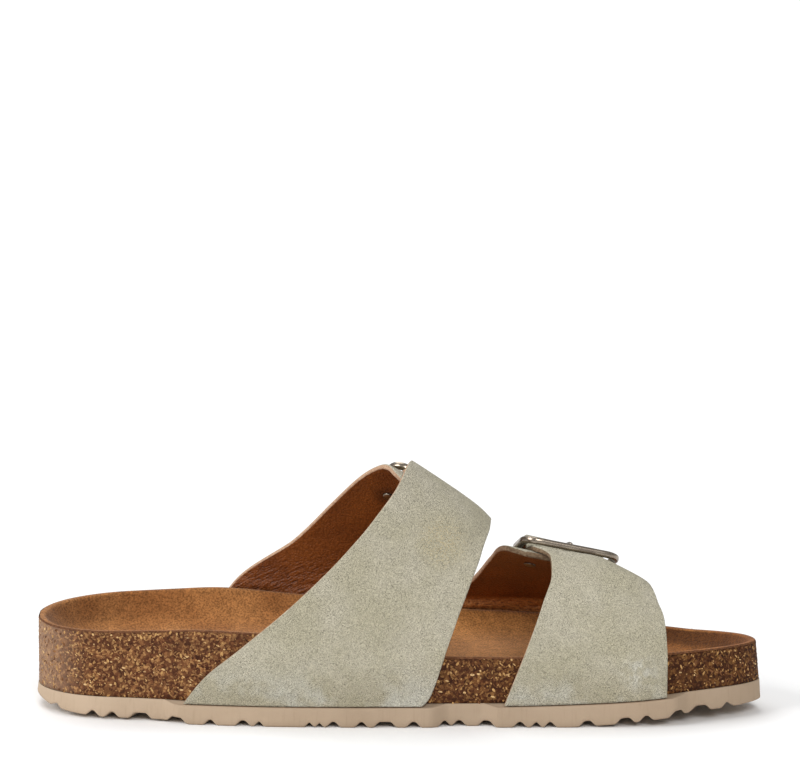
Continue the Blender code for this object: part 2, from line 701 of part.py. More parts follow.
def disc_rings(fitting, a, b, rows):
    """Rings of a turned body that stands on the strap, each row a radius and a height."""
    rings = []
    centre = fitting.place(a, b)
    forward, around = tangents(fitting.arch, centre)
    normal = np.cross(forward, around)
    normal /= np.linalg.norm(normal)
    ahead = fitting.heading(centre)
    across = np.cross(ahead, normal)
    base = on_form(fitting.arch, centre)
    for radius, height in rows:
        ring = []
        for k in range(ROUND_STEPS):
            angle = 2 * math.pi * k / ROUND_STEPS
            spoke = across * math.cos(angle) + ahead * math.sin(angle)
            ring.append(base + radius * spoke + normal * height)
        rings.append(ring)
    return rings


def build():
    for thing in list(bpy.data.objects):
        bpy.data.objects.remove(thing, do_unlink=True)
    parts = bpy.data.collections.new("slide_sandal")
    cutters = bpy.data.collections.new("helpers")
    bpy.context.scene.collection.children.link(parts)
    bpy.context.scene.collection.children.link(cutters)
    root = bpy.data.objects.new("sandal_root", None)
    parts.objects.link(root)

    made = [add_object("outsole", outsole_mesh(), parts, *FOAM),
            add_object("footbed", footbed_mesh(), parts, *CORK),
            add_object("insole", insole_mesh(), parts, *LINER)]
    helpers = []
    for band in BANDS:
        fitting = Fitting(band)
        medial = open_mesh(f"{band.name}_strap", *medial_sheet(band, fitting))
        strap = add_object(f"{band.name}_strap", medial, parts, *SUEDE)
        thicken(strap, STRAP_THICKNESS, 1)
        lateral = open_mesh(f"{band.name}_lateral_half", *lateral_sheet(band))
        half = add_object(f"{band.name}_lateral_half", lateral, cutters, *SUEDE)
        thicken(half, STRAP_THICKNESS, 1)
        join(strap, half, "UNION")
        way = prong_path(fitting)
        room = tube_body(f"{band.name}_prong", way, PRONG_RADIUS + PRONG_CLEARANCE, cutters)
        join(strap, room, "DIFFERENCE")
        helpers += [half, room]
        loop = open_mesh(f"{band.name}_buckle_keeper", *keeper_sheet(fitting))
        keeper = add_object(f"{band.name}_buckle_keeper", loop, parts, *SUEDE)
        thicken(keeper, KEEPER_THICKNESS, 1)
        join(keeper, room, "DIFFERENCE")
        made += [strap, keeper,
                 add_tube(f"{band.name}_buckle_frame", frame_path(fitting), BAR_RADIUS, True, parts, METAL),
                 add_tube(f"{band.name}_buckle_prong", way, PRONG_RADIUS, False, parts, METAL)]
        head = ((RIVET_RADIUS, -GAP), (RIVET_RADIUS, -GAP - RIVET_HEIGHT / 2),
                (RIVET_RADIUS * RIVET_CROWN, -GAP - RIVET_HEIGHT))
        for end, across in (("back", -band.rivet_across), ("fore", band.rivet_across)):
            rings = disc_rings(fitting, across, band.rivet_along, head)
            rivet = make_mesh(f"{band.name}_rivet_{end}", *skin_rings(rings))
            made.append(add_object(f"{band.name}_rivet_{end}", rivet, parts, *METAL))

    for thing in made:
        thing.parent = root
    for thing in helpers:
        thing.hide_render = True
        thing.display_type = "WIRE"


build()
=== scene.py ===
"""Looks of a left slide sandal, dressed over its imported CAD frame.

Sizes and tables are millimetres in the shoe's own frame: stations run from the back of the
heel to the tip of the toe, the medial side is negative y, and placed() turns such points into
the frame's metres. Each piece stands for the CAD node that it replaces and keeps its form.
"""
import math
from collections import namedtuple
from functools import lru_cache

import bmesh
import bpy
import numpy as np
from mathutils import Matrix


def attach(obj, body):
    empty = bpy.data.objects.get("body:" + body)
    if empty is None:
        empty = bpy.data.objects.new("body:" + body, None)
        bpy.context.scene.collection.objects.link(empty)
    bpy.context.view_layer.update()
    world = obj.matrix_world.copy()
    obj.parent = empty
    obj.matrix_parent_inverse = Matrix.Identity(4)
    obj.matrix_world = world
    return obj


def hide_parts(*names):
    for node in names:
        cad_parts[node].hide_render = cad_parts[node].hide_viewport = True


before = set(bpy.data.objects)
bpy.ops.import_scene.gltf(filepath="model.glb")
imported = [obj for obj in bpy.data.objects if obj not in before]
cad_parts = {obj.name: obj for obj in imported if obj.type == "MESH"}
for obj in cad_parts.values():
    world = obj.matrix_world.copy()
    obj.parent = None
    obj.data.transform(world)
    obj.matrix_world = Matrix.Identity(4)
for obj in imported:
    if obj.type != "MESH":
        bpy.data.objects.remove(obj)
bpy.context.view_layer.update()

MM = 0.001
MEDIAL, LATERAL = -1, 1
BOX_CENTRE = (128.425, 4.595)

# The photograph's view
CAMERA_PLACE = (0.001035, -1.186545, 0.26897)
CAMERA_TILT = math.radians(82.695)
CAMERA_LENS, SENSOR_WIDTH, CAMERA_REACH = 149.8, 36.0, 200.0
FLOOR_SIZE, FLOOR_WHITE = 120.0, (0.95, 0.95, 0.95, 1.0)

# Soft lights: name, direction that each comes from, spread in degrees and strength
SKY_STRENGTH = 0.42
SUNS = (
    ("top_softbox", (-0.2, 0.42, 0.88), 40.0, 1.1),
    ("front_softbox", (0.14, -0.8, 0.58), 24.0, 1.15),
    ("left_softbox", (-0.77, -0.36, 0.53), 32.0, 1.5),
)

# Outline of the footbed
HEEL_BACK, SOLE_LENGTH = -0.85, 256.6
HEEL_CAP, HEEL_POWER = 31.0, 2.1
TOE_TIP_Y = -14.0
TOE_CAP = {MEDIAL: 45.0, LATERAL: 88.0}
TOE_POWER = {MEDIAL: 1.6, LATERAL: 1.75}
SPINE_START, SPINE_END = 28.0, 222.0
OUTLINE_STEPS = 150

# Insole and cork
INSOLE_THICKNESS, INSOLE_EDGE = 1.2, 0.5
INSOLE_ROUND = 0.4
RIM_BAND, RIM_SOFT = 2.4, 0.14
CUP_POWER = 5.0
CORK_ROWS = 14
INSOLE_SHARES = tuple(1 - (1 - np.linspace(0.05, 0.982, 52)) ** 1.35)
CUP_SHARES = (0.3, 0.5, 0.66, 0.76, 0.83, 0.88, 0.91, 0.935, 0.96, 1.0)
SEAM = 0.05

# Foam outsole
OUTSOLE_PROUD = 0.25
OUTSOLE_FLARE = 0.4
OUTSOLE_ROUND = 0.8
LEDGE_WIDTH, LEDGE_DROP, LEDGE_RAMP, LEDGE_PLAY = 2.7, 1.1, 7.0, 1.2
UPSTAND_FOOT, UPSTAND_TOP = 0.1, 0.5
GROOVE_DEPTH, GROOVE_SLOPE, GROOVE_SWAY, GROOVE_SOFT = 2.0, 1.1, 3.4, 0.7
GROOVE_ROWS = (-1.0, -0.72, -0.38, 0.0, 0.38, 0.72, 1.0)
SWAY_FADE = 30.0
TREAD_ROWS, TREAD_STEP = 37, 0.5
FLANK_SHARES = (0.35, 0.6, 0.8)
COLUMN_STEP, LEAST_COLUMN, END_COLUMNS, FINE_START = 0.55, 0.02, 26, 12.0

# Leather and metal
GAP = 0.35
STRAP_CLEAR, LEAST_SQUARE = 2.5, 0.5
STRAP_THICKNESS = 2.0
EDGE_ROUND = 0.5
LAP_REST = 0.05
BAR_RADIUS = 1.3
PRONG_RADIUS, PRONG_PLAY = 0.8, 0.2
KEEPER_THICKNESS, KEEPER_HALF = 1.2, 12.5
KEEPER_TAB, KEEPER_LIP = (11.0, 7.0, 3.4), 0.3
KEEPER_TURNS, KEEPER_COLUMNS = (150, 120, 90, 60, 30, 0), 9
RIVET_RADIUS, RIVET_HEIGHT, RIVET_SIDES = 2.2, 0.6, 24
RIVET_TURNS, RIVET_BACK, RIVET_SEAT = (15, 35, 55, 75), 0.6, 0.035
LAP_BITE, NEAR_BAR_LOOSE = 0.4, 1.0
NEAR_BAR_HEIGHT = 2 * STRAP_THICKNESS - LAP_BITE + NEAR_BAR_LOOSE + BAR_RADIUS
PIVOT_BAR_HEIGHT = STRAP_THICKNESS + GAP + BAR_RADIUS
PIVOT_LIFT = PIVOT_BAR_HEIGHT + BAR_RADIUS + 2 * PRONG_RADIUS + PRONG_PLAY + 2 * GAP
PRONG_RISE = (0.55, 0.75)
PRONG_TIP = ((5.0, -0.6), (2.3, -1.3))
PRONG_TURNS, PRONG_STEPS = (150, 120, 90, 60), 40
PRONG_SQUARE, PRONG_SIDES, PRONG_POINT, PRONG_TAPER = 2.2, 14, 1.02, 0.08
LAP_START, LAP_RAMP = 16.2, 12.0
PIVOT_START, PIVOT_RAMP = 9.0, 6.0
TONGUE_START, TONGUE_RAMP = 3.5, 16.0
FRAME_WIDTH, FRAME_DEPTH, FRAME_CORNER = 36.5, 19.0, 4.5
CORNER_STEPS, BAR_STEPS, SIDE_STEPS = 9, 17, 6
BAR_WIDER, BAR_FLATTER, BAR_SQUARE, BAR_SIDES = 1.12, 0.98, 3.0, 20
TONGUE_HALF, TONGUE_LENGTH, TONGUE_TIP, TONGUE_TURN = 14.4, 47.0, 13.0, 82.0
HOLE_RADIUS, HOLE_REACH, HOLE_SIDES = 1.4, 8.0, 24
HOLE_PLACES = (26.0, 33.0, 40.0)

# Fineness of the forms
WALL_STEPS, ARCH_STEPS, WALK_STEPS, LINE_STEPS = 6, 24, 4, 6
MEDIAL_ROWS, TONGUE_ROWS, TIP_ROWS, LATERAL_ROWS, STRAP_COLUMNS = 60, 28, 12, 48, 6
SAG_RAMP = 0.10
FORM_SHARES, FORM_MARGIN, CHART_END = 240, 4, 1.001
STATION_STEP, SHARE_STEP, NORMAL_STEP = 2.0, 0.02, 0.05
LEATHER_STEP, LEAST_ROUNDS = 1.0, 2.5
WELD = 0.01
ARC_STEPS = 3
QUARTER = [math.pi / 2 * k / ARC_STEPS for k in range(ARC_STEPS + 1)]

SoleSection = namedtuple("SoleSection", "station medial lateral medial_rim lateral_rim bed seat tread draft")
SOLE = (
    SoleSection(0, 29.0, 32.5, 32.4, 32.8, 23.5, 8.4, 4.6, 0.1),
    SoleSection(6, 29.0, 32.5, 31.8, 33.2, 22.8, 8.4, 2.8, 0.2),
    SoleSection(14, 29.0, 32.5, 31.6, 33.6, 22.0, 8.3, 1.6, 0.3),
    SoleSection(26, 29.4, 32.5, 31.7, 34.2, 21.5, 8.3, 0.9, 0.5),
    SoleSection(46, 32.0, 33.5, 32.4, 35.0, 21.4, 8.1, 0.7, 0.6),
    SoleSection(58, 34.2, 34.8, 33.0, 35.3, 21.4, 7.9, 0.0, 0.6),
    SoleSection(90, 37.8, 38.5, 32.0, 32.2, 21.0, 7.9, 0.0, 0.6),
    SoleSection(120, 38.8, 42.5, 28.4, 28.2, 19.5, 8.0, 0.0, 0.6),
    SoleSection(150, 38.8, 46.5, 24.4, 25.0, 17.6, 8.1, 0.0, 0.6),
    SoleSection(170, 38.6, 48.0, 24.3, 23.8, 16.7, 8.3, 0.0, 0.6),
    SoleSection(186, 38.4, 48.0, 24.3, 23.2, 16.2, 8.7, 0.0, 0.7),
    SoleSection(203, 38.2, 48.0, 24.4, 22.6, 15.8, 9.4, 0.9, 0.8),
    SoleSection(220, 38.2, 48.0, 25.0, 21.9, 15.6, 10.6, 2.7, 0.9),
    SoleSection(234, 38.2, 48.0, 25.6, 22.2, 15.8, 11.6, 4.0, 1.0),
    SoleSection(246, 38.2, 48.0, 25.7, 23.6, 16.6, 11.8, 4.3, 1.1),
    SoleSection(256.6, 38.2, 48.0, 25.6, 25.6, 18.0, 11.8, 4.6, 1.2),
)

TreadGroove = namedtuple("TreadGroove", "station mouth")
TREAD = (
    TreadGroove(7.5, 3.4), TreadGroove(20.9, 4.7), TreadGroove(27.7, 5.0), TreadGroove(37.9, 8.0),
    TreadGroove(51.4, 7.4), TreadGroove(63.3, 4.6), TreadGroove(74.8, 5.4), TreadGroove(80.4, 3.6),
    TreadGroove(97.9, 3.4), TreadGroove(101.4, 3.0), TreadGroove(106.2, 5.0), TreadGroove(116.0, 4.6),
    TreadGroove(124.2, 8.0), TreadGroove(134.2, 5.2), TreadGroove(145.0, 4.4), TreadGroove(150.2, 5.0),
    TreadGroove(159.8, 6.0), TreadGroove(171.4, 4.8), TreadGroove(177.1, 3.9), TreadGroove(182.0, 4.4),
    TreadGroove(195.0, 5.8), TreadGroove(208.3, 6.6), TreadGroove(215.2, 4.6), TreadGroove(225.9, 6.2),
    TreadGroove(234.6, 7.6), TreadGroove(244.3, 4.0),
)

StrapSeat = namedtuple("StrapSeat", "side back front")
STRAP_SEATS = (
    StrapSeat(MEDIAL, 53.5, 138.6), StrapSeat(MEDIAL, 165.9, 222.8),
    StrapSeat(LATERAL, 50.0, 126.0), StrapSeat(LATERAL, 138.0, 196.0),
)

ArchSection = namedtuple("ArchSection", "station crest_y crest_z medial_full lateral_full")
REAR_ARCH = (
    ArchSection(50, -6.0, 126.0, 1.9, 1.4),
    ArchSection(90, -7.0, 110.0, 1.9, 1.4),
    ArchSection(120, -8.0, 93.4, 1.9, 1.4),
    ArchSection(134, -8.0, 84.5, 1.9, 1.4),
    ArchSection(150, -8.5, 73.7, 1.9, 1.4),
    ArchSection(163, -9.0, 64.2, 1.9, 1.4),
    ArchSection(180, -9.0, 53.2, 1.9, 1.4),
)
FRONT_ARCH = (
    ArchSection(120, -10.0, 67.0, 2.0, 1.2),
    ArchSection(150, -12.0, 61.3, 2.0, 1.2),
    ArchSection(168, -13.0, 57.4, 2.0, 1.2),
    ArchSection(185, -13.5, 53.9, 2.0, 1.2),
    ArchSection(202, -14.0, 50.4, 2.0, 1.2),
    ArchSection(211, -14.2, 47.4, 2.0, 1.2),
    ArchSection(218, -14.3, 44.2, 2.0, 1.2),
    ArchSection(232, -14.5, 38.0, 2.0, 1.2),
)

StrapRow = namedtuple("StrapRow", "share back front")
REAR_MEDIAL = (
    StrapRow(0.00, 53.5, 137.2),
    StrapRow(0.012, 55.6, 139.4),
    StrapRow(0.04, 61.5, 141.7),
    StrapRow(0.08, 73.0, 144.1),
    StrapRow(0.16, 93.2, 148.7),
    StrapRow(0.24, 108.7, 153.5),
    StrapRow(0.32, 120.3, 157.7),
    StrapRow(0.40, 128.2, 159.8),
    StrapRow(0.48, 131.6, 160.4),
)
REAR_LATERAL = (
    StrapRow(0.42, 140.0, 152.0),
    StrapRow(0.44, 134.4, 157.0),
    StrapRow(0.48, 129.6, 157.8),
    StrapRow(0.52, 126.4, 158.0),
    StrapRow(0.60, 117.6, 155.0),
    StrapRow(0.72, 103.4, 149.0),
    StrapRow(0.80, 90.5, 143.5),
    StrapRow(0.88, 67.7, 137.0),
    StrapRow(1.00, 50.0, 126.0),
)
FRONT_MEDIAL = (
    StrapRow(0.00, 165.9, 222.8),
    StrapRow(0.12, 173.0, 222.9),
    StrapRow(0.24, 179.4, 221.9),
    StrapRow(0.32, 182.6, 219.3),
    StrapRow(0.37, 182.2, 216.7),
)
FRONT_LATERAL = (
    StrapRow(0.40, 174.0, 203.0),
    StrapRow(0.413, 169.6, 206.5),
    StrapRow(0.44, 166.0, 208.0),
    StrapRow(0.60, 161.9, 205.0),
    StrapRow(0.76, 156.6, 201.0),
    StrapRow(0.86, 148.0, 198.5),
    StrapRow(1.00, 138.0, 196.0),
)

Band = namedtuple("Band", ("name", "arch", "medial", "lateral", "near_bar", "middle", "heading",
                           "rivet_along", "rivet_across", "sag", "sag_share"))
BANDS = (
    Band("rear", REAR_ARCH, REAR_MEDIAL, REAR_LATERAL, 0.575, 140.4, -0.40, 13.2, 11.5, 4.5, 0.57),
    Band("front", FRONT_ARCH, FRONT_MEDIAL, FRONT_LATERAL, 0.430, 189.9, -0.17, 20.0, 10.0, 0.0, 0.44),
)

# Soft troughs and ridges of the leather, by half: distance from the sole and from the back
# edge, turn from the sole's line in degrees, half length, half width and height
Crease = namedtuple("Crease", "half rise across turn length width height")
CREASES = (
    Crease("rear_medial", 22.0, 44.0, 8, 26.0, 5.0, -0.35),
    Crease("rear_medial", 29.0, 36.0, 10, 22.0, 4.0, 0.25),
    Crease("rear_medial", 62.0, 26.0, -35, 14.0, 4.0, -0.25),
    Crease("rear_medial", 70.0, 16.0, -40, 12.0, 3.0, 0.20),
    Crease("rear_medial", 84.0, 39.0, 90, 22.0, 6.0, -1.3),
    Crease("front_medial", 18.0, 26.0, 5, 20.0, 5.0, -0.30),
    Crease("front_medial", 48.0, 18.0, -20, 14.0, 3.5, -0.25),
    Crease("front_medial", 46.0, 42.0, 117, 20.0, 8.0, -1.25),
    Crease("front_medial", 62.0, 22.0, 0, 8.0, 6.0, 0.8),
    Crease("rear_lateral", 24.0, 24.0, 4, 30.0, 1.6, 0.45),
    Crease("rear_lateral", 27.5, 40.0, 2, 28.0, 1.4, -0.40),
    Crease("rear_lateral", 31.0, 22.0, 6, 24.0, 1.6, 0.35),
    Crease("rear_lateral", 35.0, 44.0, 0, 20.0, 1.8, -0.30),
    Crease("front_lateral", 17.5, 16.0, 3, 24.0, 1.5, 0.45),
    Crease("front_lateral", 20.5, 30.0, 0, 26.0, 1.3, -0.40),
    Crease("front_lateral", 23.5, 18.0, 5, 20.0, 1.6, 0.35),
)

# Share of each half, from its first row, along which the whole cut edge is raw
RAW_SHARE = {"rear_medial": 0.62, "rear_lateral": 0.0, "front_medial": 0.4, "front_lateral": 1.0}

# Puckered fold of the lining over the far rim
PUCKER_RISE, PUCKER_WIDTH, PUCKER_SHARE = 1.9, 1.3, 0.16
PUCKER_SPACINGS = (2.3, 3.7, 5.9)
PUCKER_HEIGHT = {"rear": 0.35, "front": 1.0}

# Cork granules: how many on a square metre, sizes, roughness, grain of the roughness, and seed
GRANULE_DENSITY, GRANULE_SEED = 380000.0, 7
GRANULE_SMALLEST, GRANULE_LARGEST = (0.15, 0.12, 0.03), (1.0, 0.5, 0.12)
GRANULE_ROUGHEN, GRANULE_GRAIN = 0.5, 1500.0

# Marked spots: a place on the shoe, the reach of its full strength and where it ends
Spot = namedtuple("Spot", "place inner outer")
WARM_PATCH = Spot((144.5, -30.0, 63.5), 3.0, 13.0)
PALE_SMUDGE = Spot((213.0, -39.0, 19.0), 2.0, 9.0)
# Painted shade in the hollow of the lining round the rear rivet
RIVET_HOLLOW_SHADE = Spot((124.6, 18.4, 71.6), 2.4, 7.5)
LIT_BED = Spot((158.0, 18.0, 17.0), 22.0, 46.0)

# Stretches along the shoe or up it, in the frame's metres, over which a finish sets in
FOLD_UP, FOLD_ALONG = (30.5 * MM, 27.5 * MM), (0.0, 0.01)
WRINKLED_UP, WRINKLED_ALONG = (54 * MM, 36 * MM), (0.0, -0.01)
LOW_SUEDE = (26 * MM, 8 * MM)
LAP_SHADE_ALONG, LAP_SHADE_UP = (0.034, 0.042), (28 * MM, 42 * MM)
CORK_FORE_SHADE, CORK_HEEL_LIGHT = (-0.1, 0.1), (-0.108, -0.129)
BED_TOE_IN, BED_TOE_OUT, BED_HEEL, BED_FORE_SHADE = (0.084, 0.1), (0.15, 0.105), (-0.07, -0.11), (0.06, 0.09)
FOAM_LOW, FOAM_FORE_SHADE = (2.6 * MM, 0.2 * MM), (-0.12, 0.02)

# Places of the colour sockets on a Mix node, whose labels repeat
MIX_FIRST, MIX_SECOND, MIX_RESULT = 6, 7, 2

# Painted shade on the fore parts
CORK_TOE_SHADE = (0.54, 0.48, 0.38, 1.0)
INSOLE_TOE_SHADE = (0.88, 0.78, 0.58, 1.0)


@lru_cache(maxsize=None)
def slopes(rows):
    """Columns of a table and slopes of the monotone curves through them."""
    table = np.array(rows, float)
    at = table[:, 0]
    run = np.diff(at)
    rise = np.diff(table, axis=0) / run[:, None]
    slope = np.zeros_like(table)
    slope[0], slope[-1] = rise[0], rise[-1]
    for i in range(1, len(at) - 1):
        before, after = rise[i - 1], rise[i]
        same = before * after > 0
        one, two = 2 * run[i] + run[i - 1], run[i] + 2 * run[i - 1]
        with np.errstate(divide="ignore", invalid="ignore"):
            mean = (one + two) / (one / before + two / after)
        slope[i] = np.where(same, mean, 0.0)
    return at, table, slope


def read(rows, at):
    """Row of a table anywhere between its rows."""
    stops, table, slope = slopes(rows)
    at = min(max(at, stops[0]), stops[-1])
    i = min(int(np.searchsorted(stops, at, side="right")) - 1, len(stops) - 2)
    wide = stops[i + 1] - stops[i]
    u = (at - stops[i]) / wide
    value = ((1 + 2 * u) * (1 - u) ** 2 * table[i] + u * (1 - u) ** 2 * wide * slope[i]
             + u * u * (3 - 2 * u) * table[i + 1] + u * u * (u - 1) * wide * slope[i + 1])
    return type(rows[0])(*value)


def ease(value):
    value = np.clip(value, 0.0, 1.0)
    return value * value * (3 - 2 * value)


def soft_least(first, second, soft):
    """The smaller of two values, with a rounded change between them."""
    blend = np.maximum(soft - np.abs(first - second), 0.0)
    return np.minimum(first, second) - blend * blend / (4 * soft)


def cap(reach, length, power):
    """Share of the breadth that is left at a distance into a rounded end."""
    if reach <= 0:
        return 1.0
    return max(0.0, 1 - (reach / length) ** power) ** (1 / power)


def edge_y(station, side):
    """Side of the footbed's outline at a station."""
    row = read(SOLE, station)
    full = -row.medial if side == MEDIAL else row.lateral
    heel = cap(HEEL_CAP - station, HEEL_CAP - HEEL_BACK, HEEL_POWER)
    toe = cap(station - (SOLE_LENGTH - TOE_CAP[side]), TOE_CAP[side], TOE_POWER[side])
    return TOE_TIP_Y + (full * heel - TOE_TIP_Y) * toe


def edge_normal(station, side):
    """Outward direction of the outline in plan."""
    if station <= HEEL_BACK or station >= SOLE_LENGTH:
        return np.array([-1.0 if station <= HEEL_BACK else 1.0, 0.0])
    step = min(NORMAL_STEP, (station - HEEL_BACK) / 2, (SOLE_LENGTH - station) / 2)
    fall = (edge_y(station + step, side) - edge_y(station - step, side)) / (2 * step)
    normal = np.array([-fall, 1.0]) * side
    return normal / np.linalg.norm(normal)


def edge_point(station, side, offset):
    """Point of the outline, moved outward."""
    return np.array([station, edge_y(station, side)]) + edge_normal(station, side) * offset


def ledge(station, side):
    """How far the outsole stands out under a strap end, from 0 to 1."""
    share = 0.0
    for seat in STRAP_SEATS:
        if seat.side == side:
            into = min(station - seat.back, seat.front - station) + LEDGE_PLAY
            share = max(share, ease(1 + into / LEDGE_RAMP))
    return share


def placed(points):
    """Points of the shoe's own frame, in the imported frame's metres."""
    points = np.asarray(points, float).reshape(-1, 3)
    return (points - (BOX_CENTRE[0], BOX_CENTRE[1], 0.0)) * MM


def unit(vectors):
    return vectors / np.maximum(np.linalg.norm(vectors, axis=-1, keepdims=True), 1e-12)


def make_piece(name, points, faces, finishes, tints=None, rise=None):
    """Closed mesh of smooth faces, turned outward, with a finish for each face."""
    mesh = bpy.data.meshes.new(name)
    mesh.from_pydata(placed(points).tolist(), [], faces, shade_flat=False)
    for finish in finishes:
        mesh.materials.append(finish)
    if tints is not None:
        mesh.polygons.foreach_set("material_index", tints)
    if rise is not None:
        mesh.attributes.new("rise", "FLOAT", "POINT").data.foreach_set("value", rise)
    work = bmesh.new()
    work.from_mesh(mesh)
    bmesh.ops.remove_doubles(work, verts=work.verts, dist=WELD * MM)
    bmesh.ops.recalc_face_normals(work, faces=work.faces)
    work.to_mesh(mesh)
    work.free()
    piece = bpy.data.objects.new(name, mesh)
    bpy.context.scene.collection.objects.link(piece)
    return piece


def dress(piece, slot, *nodes):
    """Puts a finished piece on the sandal in place of CAD nodes."""
    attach(piece, "root")
    if nodes:
        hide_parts(*nodes)


# Sole


class Outline:
    """Points once round the footbed, from the heel along the medial side and back."""

    def __init__(self):
        turns = np.arange(OUTLINE_STEPS + 1) * math.pi / OUTLINE_STEPS
        stations = HEEL_BACK + (SOLE_LENGTH - HEEL_BACK) * (1 - np.cos(turns)) / 2
        there = [(station, MEDIAL) for station in stations]
        back = [(station, LATERAL) for station in stations[-2:0:-1]]
        self.places = there + back
        rows = [read(SOLE, station) for station, _ in self.places]
        self.edge = np.array([edge_point(*place, 0.0) for place in self.places])
        self.normal = np.array([edge_normal(*place) for place in self.places])
        self.rim = np.array([row.medial_rim if side == MEDIAL else row.lateral_rim
                             for row, (_, side) in zip(rows, self.places)])
        self.seat = np.array([row.seat for row in rows])
        self.draft = np.array([row.draft for row in rows])
        spine = [min(max(station, SPINE_START), SPINE_END) for station, _ in self.places]
        self.spine = np.array([(at, (edge_y(at, MEDIAL) + edge_y(at, LATERAL)) / 2) for at in spine])
        self.measure = np.arange(math.floor(HEEL_BACK), SOLE_LENGTH + 1, 1.0)
        self.beds = np.array([read(SOLE, at).bed for at in self.measure])

    def rise(self, share):
        """How far the cup has risen from its bed toward its rim."""
        length = np.linalg.norm(self.edge - self.spine, axis=1)
        return soft_least((share * length / (length - RIM_BAND)) ** CUP_POWER, 1.0, RIM_SOFT)

    def bed_ring(self, share, drop):
        """Ring of the cup and its flat rim, a share of the way from its spine to its edge."""
        flat = self.spine + share * (self.edge - self.spine)
        bed = np.interp(flat[:, 0], self.measure, self.beds)
        return np.column_stack([flat, bed + (self.rim - bed) * self.rise(share) - drop])

    def side_ring(self, offset, height):
        return np.column_stack([self.edge + self.normal * offset, height])


def across_ring(base, count):
    """Faces that close a ring, from its medial to its lateral points."""
    half = count // 2
    faces = [(base, base + 1, base + count - 1)]
    for i in range(1, half - 1):
        faces.append((base + i, base + i + 1, base + count - i - 1, base + count - i))
    faces.append((base + half - 1, base + half, base + half + 1))
    return faces


def ring_faces(rings, count):
    faces = []
    for k in range(rings - 1):
        for i in range(count):
            j = (i + 1) % count
            faces.append((k * count + i, k * count + j, (k + 1) * count + j, (k + 1) * count + i))
    return faces


def capped_faces(rings, count):
    """Faces of a bar through rings, with one face at each end."""
    last = (rings - 1) * count
    return ring_faces(rings, count) + [list(range(count)), list(range(last, last + count))]


def ring_piece(name, rings, finishes, edge=(), rise=None):
    """Closed piece through rings of equal count, with a second finish on the bands of its edge."""
    count = len(rings[0])
    faces = ring_faces(len(rings), count)
    tints = [int(i // count in edge) for i in range(len(faces))]
    ends = across_ring(0, count) + across_ring((len(rings) - 1) * count, count)
    return make_piece(name, np.concatenate(rings), faces + ends, finishes, tints + [0] * len(ends), rise)


def make_insole(outline, finishes):
    """Suede sheet in the cup, with a rounded edge over the cork."""
    rings = [outline.bed_ring(share, 0.0) for share in INSOLE_SHARES]
    for angle in QUARTER:
        out = INSOLE_ROUND * (math.sin(angle) - 1)
        rings.append(outline.side_ring(out, outline.rim - INSOLE_ROUND * (1 - math.cos(angle))))
    edge = range(len(INSOLE_SHARES) + 1, len(rings))
    under = [outline.bed_ring(share, INSOLE_THICKNESS) for share in CUP_SHARES[-2::-1]]
    rings += [outline.bed_ring(1.0, INSOLE_EDGE)] + under
    rise = np.ones((len(rings), len(rings[0])))
    for k, share in enumerate(INSOLE_SHARES):
        rise[k] = outline.rise(share)
    return ring_piece("suede_insole", rings, finishes, edge, rise.ravel())


def cork_wall(outline):
    """Rings of the cork's side, from under the insole down to the outsole."""
    top = outline.rim - INSOLE_EDGE - SEAM
    foot = outline.seat + SEAM
    rings = []
    for k in range(CORK_ROWS + 1):
        share = k / CORK_ROWS
        rings.append(outline.side_ring((outline.draft * share)[:, None], top + (foot - top) * share))
    return rings


def make_footbed(outline, finish):
    wall = cork_wall(outline)
    drop = INSOLE_THICKNESS + SEAM
    bed = [outline.bed_ring(share, drop) for share in CUP_SHARES[:-1]]
    return ring_piece("cork_footbed", bed + wall, [finish])


def groove_depth(station):
    """Depth of the tread's grooves, with sloping flanks and rounded lands and floors."""
    into = max(groove.mouth / 2 - abs(station - groove.station) for groove in TREAD) * GROOVE_SLOPE
    depth = -soft_least(-into, 0.0, GROOVE_SOFT)
    return soft_least(depth, GROOVE_DEPTH, GROOVE_SOFT)


def outsole_columns():
    turns = np.linspace(0, math.pi / 2, END_COLUMNS)
    ends = HEEL_CAP * (1 - np.cos(turns))
    heel = HEEL_BACK + (HEEL_CAP - HEEL_BACK) * (1 - np.cos(turns))
    middle = np.arange(HEEL_CAP + COLUMN_STEP, SOLE_LENGTH - HEEL_CAP, COLUMN_STEP)
    fine = np.arange(FINE_START, HEEL_CAP, COLUMN_STEP)
    columns = np.concatenate([heel, fine, middle, SOLE_LENGTH - fine, SOLE_LENGTH - ends])
    columns.sort()
    return columns[np.concatenate([[True], np.diff(columns) > LEAST_COLUMN])]


